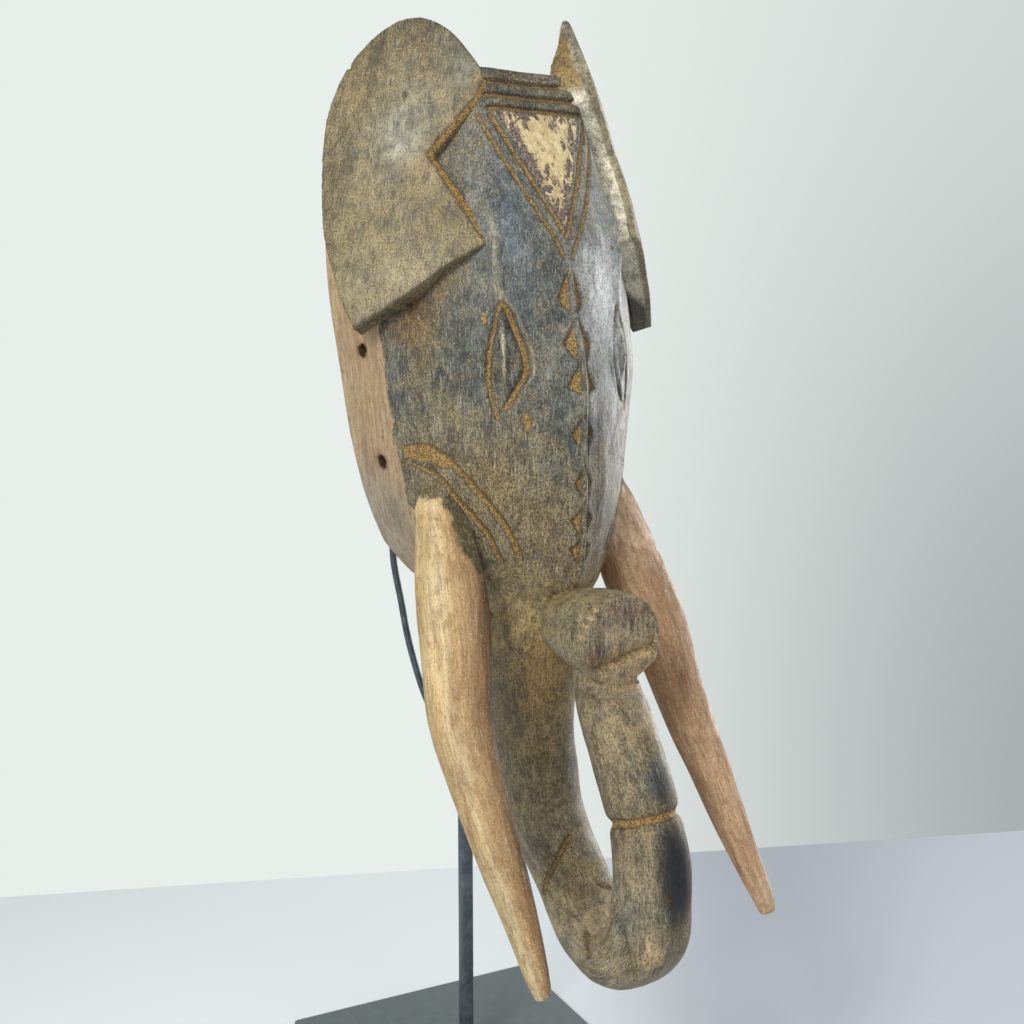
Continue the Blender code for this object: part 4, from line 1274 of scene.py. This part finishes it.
# ---------------------------------------------------------------- stand pieces
def softened(node, width, segments=3):
    """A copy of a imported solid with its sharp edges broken."""
    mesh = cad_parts[node].data.copy()
    bm = bmesh.new()
    bm.from_mesh(mesh)
    bmesh.ops.remove_doubles(bm, verts=bm.verts, dist=2e-5)
    bmesh.ops.dissolve_limit(bm, angle_limit=math.radians(1), verts=bm.verts, edges=bm.edges)
    sharp = [e for e in bm.edges if len(e.link_faces) == 2 and e.calc_face_angle() > 0.9]
    bmesh.ops.bevel(
        bm, geom=sharp, offset=width * MM, segments=segments, profile=0.5, affect="EDGES",
        clamp_overlap=True,
    )
    bm.to_mesh(mesh)
    bm.free()
    return mesh


def repaint(node, look):
    """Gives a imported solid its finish."""
    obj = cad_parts[node]
    obj.data.materials.clear()
    obj.data.materials.append(look)


# ---------------------------------------------------------------- materials
def node(tree, kind, inputs=None, **settings):
    made = tree.nodes.new(kind)
    for name, value in settings.items():
        setattr(made, name, value)
    for name, value in (inputs or {}).items():
        feed(tree, value, made.inputs[name])
    return made


def feed(tree, value, socket):
    if isinstance(value, bpy.types.NodeSocket):
        tree.links.new(value, socket)
    else:
        socket.default_value = value


def stored(tree, name, output="Fac"):
    return node(tree, "ShaderNodeAttribute", attribute_name=name).outputs[output]


def noise(tree, place, scale, detail=3.0, rough=0.55, warp=0.0):
    made = node(tree, "ShaderNodeTexNoise", {
        "Vector": place, "Scale": scale, "Detail": detail, "Roughness": rough, "Distortion": warp,
    })
    return made.outputs["Fac"]


def stretch(tree, place, scale):
    made = node(tree, "ShaderNodeVectorMath", {0: place, 1: scale}, operation="MULTIPLY")
    return made.outputs[0]


def between(tree, value, low, high, start=0.0, end=1.0):
    """0 to 1, smoothly, as a value goes from low to high."""
    made = node(tree, "ShaderNodeMapRange", {
        "Value": value, "From Min": low, "From Max": high, "To Min": start, "To Max": end,
    }, interpolation_type="SMOOTHSTEP" if start < end else "LINEAR")
    return made.outputs["Result"]


def calc(tree, operation, first, second=0.0, third=0.0):
    made = node(tree, "ShaderNodeMath", {0: first, 1: second, 2: third}, operation=operation)
    return made.outputs[0]


def mixed(tree, share, first, second):
    return node(tree, "ShaderNodeMix", {0: share, 6: first, 7: second}, data_type="RGBA").outputs[2]


def times(tree, first, second):
    return calc(tree, "MULTIPLY", first, second)


def total(tree, *terms):
    """The sum of terms, each a value and what it is multiplied by."""
    result = 0.0
    for value, gain in terms:
        result = calc(tree, "MULTIPLY_ADD", value, gain, result)
    return result


def scaled(tree, colour, gain):
    made = node(tree, "ShaderNodeVectorMath", {0: colour, "Scale": gain}, operation="SCALE")
    return made.outputs[0]


def along_way(tree, place, way):
    """How far a place lies along a direction."""
    made = node(tree, "ShaderNodeVectorMath", {0: place, 1: way}, operation="DOT_PRODUCT")
    return made.outputs["Value"]


def spotted(tree, colour, layers):
    """Lays each layer's colour where a value goes from low to high, by its strength."""
    for value, low, high, strength, spot in layers:
        colour = mixed(tree, times(tree, between(tree, value, low, high), strength), colour, rgba(spot))
    return colour


def bumped(tree, shader, height, strength, depth):
    bump = node(tree, "ShaderNodeBump", {"Height": height, "Strength": strength, "Distance": depth})
    feed(tree, bump.outputs["Normal"], shader.inputs["Normal"])


def started(name):
    made = bpy.data.materials.new(name)
    made.use_nodes = True
    tree = made.node_tree
    return made, tree, tree.nodes["Principled BSDF"]


def carved_wood(name, contrast, speckle, gloss):
    """Old carved wood, painted or bare as its stored distances say: ochre in the cuts, dust and
    specks on the paint, kaolin in the forehead's triangle, and fibres where it is bare."""
    made, tree, shader = started(name)
    grain = stored(tree, "grain", "Vector")
    tint = stored(tree, "tint", "Color")

    def streaks(scale, detail, rough, warp=0.0):
        return noise(tree, stretch(tree, grain, scale), 1.0, detail, rough, warp)

    fibres = streaks((1.0, 1.0, 0.12), 3.0, 0.6)
    coarse = streaks((0.32, 0.32, 0.025), 4.0, 0.6)
    specks = streaks((1.0, 1.0, 0.8), 3.0, 0.7)
    grit = streaks((1.6, 1.6, 1.1), 2.0, 0.6)
    mottle = streaks((0.20, 0.20, 0.13), 5.0, 0.66)
    stains = streaks((0.10, 0.10, 0.055), 5.0, 0.6, 0.5)
    drifts = streaks((0.13, 0.13, 0.09), 5.0, 0.66, 0.8)
    flakes = streaks((0.17, 0.17, 0.10), 6.0, 0.68, 0.6)
    broad = noise(tree, grain, 0.045, 3.0, 0.5)

    # Paint: the stored tint with cloudy changes and fine specks, under tan dust that lies in grains.
    cloud = total(tree, (mottle, 0.65), (broad, 0.35))
    shade = between(tree, cloud, 0.40, 0.60, 1.0 - contrast, 1.0 + contrast)
    shade = times(tree, shade, between(tree, stains, 0.42, 0.66, 1.16, 0.66))
    paint = spotted(tree, scaled(tree, tint, shade), (
        (specks, 0.49, 0.36, 0.60 * speckle, (34, 33, 31)),
    ))
    heap = total(
        tree, (mottle, 0.34), (grit, 0.50), (broad, 0.25), (stored(tree, "dust"), 0.26),
        (drifts, 0.36), (1.0, -0.18),
    )
    speck_share = between(tree, specks, 0.40, 0.60)
    earth_dust = mixed(tree, speck_share, rgba((94, 74, 42)), rgba((192, 163, 106)))
    paint = mixed(tree, times(tree, between(tree, heap, 0.59, 0.83), 0.50), paint, earth_dust)
    paint = spotted(tree, paint, (
        (grit, 0.46, 0.32, 0.70 * speckle, (30, 28, 25)),
        (specks, 0.58, 0.70, 0.46 * speckle, (202, 192, 158)),
        (fibres, 0.55, 0.70, 0.44, (176, 176, 164)),
        (fibres, 0.46, 0.32, 0.5, (38, 36, 33)),
    ))
    black = times(tree, stored(tree, "worn"), between(tree, fibres, 0.26, 0.42))
    paint = mixed(tree, times(tree, black, 0.95), paint, rgba((24, 25, 30)))

    # Bare wood: fibres along the piece with pale and dark streaks.
    bare = scaled(tree, tint, between(tree, coarse, 0.36, 0.64, 0.80, 1.16))
    bare = spotted(tree, bare, (
        (fibres, 0.56, 0.72, 0.34, (236, 214, 178)),
        (fibres, 0.46, 0.32, 0.45, (96, 66, 42)),
        (grit, 0.57, 0.68, 0.34, (232, 214, 184)),
        (grit, 0.42, 0.32, 0.55, (98, 68, 46)),
        (mottle, 0.52, 0.64, 0.42, (142, 98, 62)),
        (specks, 0.42, 0.33, 0.6, (64, 48, 34)),
    ))
    edge = total(tree, (stored(tree, "paint"), 1.0), (mottle, 6.0), (1.0, -3.0))
    colour = mixed(tree, between(tree, edge, -0.4, 0.6), bare, paint)

    # Kaolin that has worn off in patches, over a brown ground. More of it is left in the middle.
    reach = stored(tree, "kaolin")
    inside = between(tree, total(tree, (reach, 1.0), (specks, 2.4), (1.0, -1.2)), -0.1, 0.5)
    middle = between(tree, reach, 1.0, 11.0, -0.035, 0.075)
    left = total(tree, (flakes, 1.0), (grit, 0.16), (middle, 1.0), (1.0, -0.08))
    left = between(tree, left, 0.505, 0.53)
    ground = between(tree, specks, 0.40, 0.62)
    ground = mixed(tree, ground, rgba((70, 56, 54)), rgba((150, 130, 118)))
    chalk = between(tree, mottle, 0.4, 0.6)
    chalk = mixed(tree, chalk, rgba((196, 172, 124)), rgba((226, 206, 158)))
    chalk = spotted(tree, chalk, ((fibres, 0.42, 0.32, 0.7, KAOLIN_GROUND),))
    colour = mixed(tree, inside, colour, mixed(tree, left, ground, chalk))

    # Ochre in the cuts, with painted shade along their edges.
    gap = total(tree, (stored(tree, "groove"), 1.0), (specks, 2.2), (mottle, 2.4), (1.0, -2.3))
    colour = spotted(tree, colour, ((gap, 1.9, 0.5, 0.5, GROOVE_EDGE_SHADE),))
    earth = between(tree, grit, 0.38, 0.60)
    earth = mixed(tree, earth, rgba((104, 74, 36)), rgba((186, 150, 88)))
    earth = spotted(tree, earth, ((specks, 0.50, 0.40, 0.8, (48, 38, 26)),))
    colour = mixed(tree, times(tree, between(tree, gap, 0.45, -0.25), 0.92), colour, earth)

    feed(tree, colour, shader.inputs["Base Color"])
    rough = between(tree, mottle, 0.35, 0.65, gloss, gloss + 0.25)
    feed(tree, rough, shader.inputs["Roughness"])
    bumped(tree, shader, total(tree, (fibres, 0.5), (specks, 0.7), (mottle, 0.9)), 0.7, 0.0007)
    shader.inputs["Specular IOR Level"].default_value = 0.32
    return made


def in_mm(tree):
    place = node(tree, "ShaderNodeTexCoord").outputs["Object"]
    return stretch(tree, place, (1000.0, 1000.0, 1000.0))


def blackened_steel():
    """Dull blue-black coated steel, painted lighter on its upward faces as a painted reflection of the
    bright room, with faint scuffs and a few specks of rust.
    """
    made, tree, shader = started("black_steel")
    place = in_mm(tree)
    fine = noise(tree, place, 2.2, 3.0, 0.6)
    patch = noise(tree, place, 0.12, 5.0, 0.6)
    colour = mixed(tree, between(tree, patch, 0.35, 0.7), rgba((62, 70, 77)), rgba((92, 102, 108)))
    facing = node(tree, "ShaderNodeNewGeometry").outputs["Normal"]
    rust = noise(tree, place, 0.5, 5.0, 0.7)
    colour = spotted(tree, colour, (
        # painted reflection: faces that look upwards are made lighter
        (along_way(tree, facing, (0, 0, 1)), 0.6, 0.95, 0.55, (132, 142, 142)),
        (rust, 0.71, 0.76, 0.6, (104, 66, 44)),
    ))
    feed(tree, colour, shader.inputs["Base Color"])
    feed(tree, between(tree, patch, 0.3, 0.7, 0.34, 0.52), shader.inputs["Roughness"])
    bumped(tree, shader, fine, 0.35, 0.0002)
    shader.inputs["Metallic"].default_value = 0.25
    return made


def one_noise_finish(name, noise_inputs, dark, pale, gloss, strength, depth, metal=0.0):
    """A finish whose colour, gloss and height all follow one fine noise."""
    made, tree, shader = started(name)
    fine = noise(tree, in_mm(tree), *noise_inputs)
    feed(tree, mixed(tree, fine, rgba(dark), rgba(pale)), shader.inputs["Base Color"])
    feed(tree, between(tree, fine, 0.3, 0.7, *gloss), shader.inputs["Roughness"])
    bumped(tree, shader, fine, strength, depth)
    shader.inputs["Metallic"].default_value = metal
    return made


def wool_felt():
    return one_noise_finish(
        "wool_felt", (1.6, 6.0, 0.75), (24, 24, 26), (62, 61, 60), (0.97, 0.97), 0.8, 0.0006
    )


def plated_zinc():
    return one_noise_finish(
        "plated_zinc", (1.2, 3.0, 0.5), (150, 150, 146), (205, 204, 196), (0.28, 0.45), 0.2, 0.0001,
        metal=1.0,
    )


def black_vinyl():
    return one_noise_finish(
        "black_vinyl", (0.9, 4.0, 0.6), (26, 26, 27), (44, 44, 45), (0.34, 0.5), 0.3, 0.0003
    )


def table_white():
    """A pale table top with painted light and shade: brightest in the middle, a little greyer towards
    the far right corner.
    """
    made, tree, shader = started("table_white")
    place = node(tree, "ShaderNodeTexCoord").outputs["Object"]
    rightness = along_way(tree, place, LOOK_RIGHT)
    # painted light in the middle of the table and painted shade towards its far right corner
    near = between(tree, rightness, -0.5, -0.12)
    far = between(tree, rightness, -0.02, 0.24)
    colour = mixed(tree, near, rgba((232, 238, 240)), rgba((246, 251, 252)))
    colour = mixed(tree, far, colour, rgba((208, 211, 221)))
    feed(tree, colour, shader.inputs["Base Color"])
    shader.inputs["Roughness"].default_value = 0.6
    return made


# ---------------------------------------------------------------- studio
CAMERA_PLACE = (-0.4505579, -0.7231, 0.5065)
CAMERA_TURN_DEG = 34.0
CAMERA_DOWN_DEG = 8.5
CAMERA_LENS = 47.46


def make_camera():
    turn, down = math.radians(CAMERA_TURN_DEG), math.radians(CAMERA_DOWN_DEG)
    ahead = Vector((
        math.sin(turn) * math.cos(down), math.cos(turn) * math.cos(down), -math.sin(down)
    ))
    right = Vector((math.cos(turn), -math.sin(turn), 0))
    above = right.cross(ahead)
    data = bpy.data.cameras.new("camera")
    data.lens = CAMERA_LENS
    data.sensor_width = 36
    data.clip_start = 0.01
    camera = placed("camera", data)
    camera.matrix_world = Matrix((
        (right.x, above.x, -ahead.x, CAMERA_PLACE[0]),
        (right.y, above.y, -ahead.y, CAMERA_PLACE[1]),
        (right.z, above.z, -ahead.z, CAMERA_PLACE[2]),
        (0, 0, 0, 1),
    ))
    bpy.context.scene.camera = camera


TABLE_EDGE = ((-0.197, 0.452), (0.677, 0.047))  # two places under the table's far edge


def make_floor():
    """A pale table top, level with the stand's felt. Its far edge crosses behind the mask."""
    start, end = (Vector((*place, -0.0005)) for place in TABLE_EDGE)
    along = (end - start).normalized()
    back = Vector((-along.y, along.x, 0))
    left, right = start - along * 3, end + along * 3
    bm = bmesh.new()
    corners = [left - back * 4, right - back * 4, right, left]
    bm.faces.new([bm.verts.new(corner) for corner in corners])
    low = [bm.verts.new(corner - Vector((0, 0, 0.04))) for corner in corners]
    top = bm.verts[:4]
    for i in range(4):
        bm.faces.new((top[i - 1], low[i - 1], low[i], top[i]))
    bmesh.ops.recalc_face_normals(bm, faces=bm.faces)
    mesh = bpy.data.meshes.new("floor")
    bm.to_mesh(mesh)
    bm.free()
    floor = placed("floor", mesh)
    mesh.materials.append(table_white())


def lamp(name, place, aim, size, power, spread=math.pi):
    data = bpy.data.lights.new(name, "AREA")
    data.shape = "DISK"
    data.size = size
    data.energy = power
    data.spread = spread
    obj = placed(name, data)
    obj.visible_camera = False
    obj.location = place
    way = Vector(aim) - Vector(place)
    obj.rotation_euler = way.to_track_quat("-Z", "Y").to_euler()


def make_light():
    """A pale studio: the air is brighter to look at than the soft light that it gives."""
    world = bpy.data.worlds.new("studio")
    bpy.context.scene.world = world
    world.use_nodes = True
    tree = world.node_tree
    shown = tree.nodes["Background"]
    way = node(tree, "ShaderNodeTexCoord").outputs["Generated"]
    to_right = between(tree, along_way(tree, way, LOOK_RIGHT), -0.05, 0.42)
    downwards = between(tree, along_way(tree, way, (0, 0, -1)), -0.25, 0.34, 0.42, 1.0)
    dim = times(tree, to_right, downwards)
    shown_colour = mixed(tree, dim, rgba((232, 238, 234)), rgba((164, 170, 171)))
    feed(tree, shown_colour, shown.inputs["Color"])
    given = node(tree, "ShaderNodeBackground", {"Color": rgba((226, 232, 233)), "Strength": 0.62})
    seen = node(tree, "ShaderNodeLightPath").outputs["Is Camera Ray"]
    both = node(tree, "ShaderNodeMixShader", {0: seen, 1: given.outputs[0], 2: shown.outputs[0]})
    feed(tree, both.outputs[0], tree.nodes["World Output"].inputs["Surface"])
    lamp("key", (-1.25, -0.75, 1.35), (0, -0.06, 0.42), 0.55, 17)
    lamp("front", (0.1, -1.7, 1.1), (0, -0.06, 0.4), 0.7, 6)
    lamp("window", (2.5, 0.45, 0.6), (0, -0.06, 0.47), 1.5, 5, spread=0.8)
    bpy.context.scene.view_settings.view_transform = "Standard"


def main():
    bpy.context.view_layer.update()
    painted = carved_wood("painted_wood", 0.34, 1.0, 0.40)
    bare = carved_wood("bare_wood", 0.20, 0.8, 0.46)
    steel = blackened_steel()
    felt, zinc, vinyl = wool_felt(), plated_zinc(), black_vinyl()

    head, outer_count = make_head()
    skin = skin_of(head, outer_count)
    head_piece = piece("carved_head", head, "mask", painted, "mask_head")
    trunk = make_trunk_mesh(skin)
    piece("carved_trunk", trunk, "mask", painted, "trunk")
    drill_holes(head_piece)
    for hand, side in (("right", -1), ("left", 1)):
        ear, spots, details = make_ear_mesh(hand, side, skin)
        ear_looks(ear, spots, details, side)
        piece("carved_ear_" + hand, ear, "mask", painted, "ear_" + hand)
        tusk = make_tusk_mesh(hand, side, skin)
        piece("carved_tusk_" + hand, tusk, "mask", bare, "tusk_" + hand)
        arm = make_arm_mesh(side)
        facing_out(arm)
        piece("bent_arm_" + hand, arm, "bracket", steel, "arm_" + hand)
        repaint("arm_tip_" + hand, vinyl)
    for name, width, body in (
        ("base_plate", 0.8, "stand"), ("post", 0.5, "stand"), ("bracket_hub", 0.7, "bracket"),
    ):
        piece("eased_" + name, softened(name, width), body, steel, name)
    repaint("bracket_stem", steel)
    repaint("base_felt", felt)
    repaint("post_screw", zinc)
    make_floor()
    make_camera()
    make_light()


main()
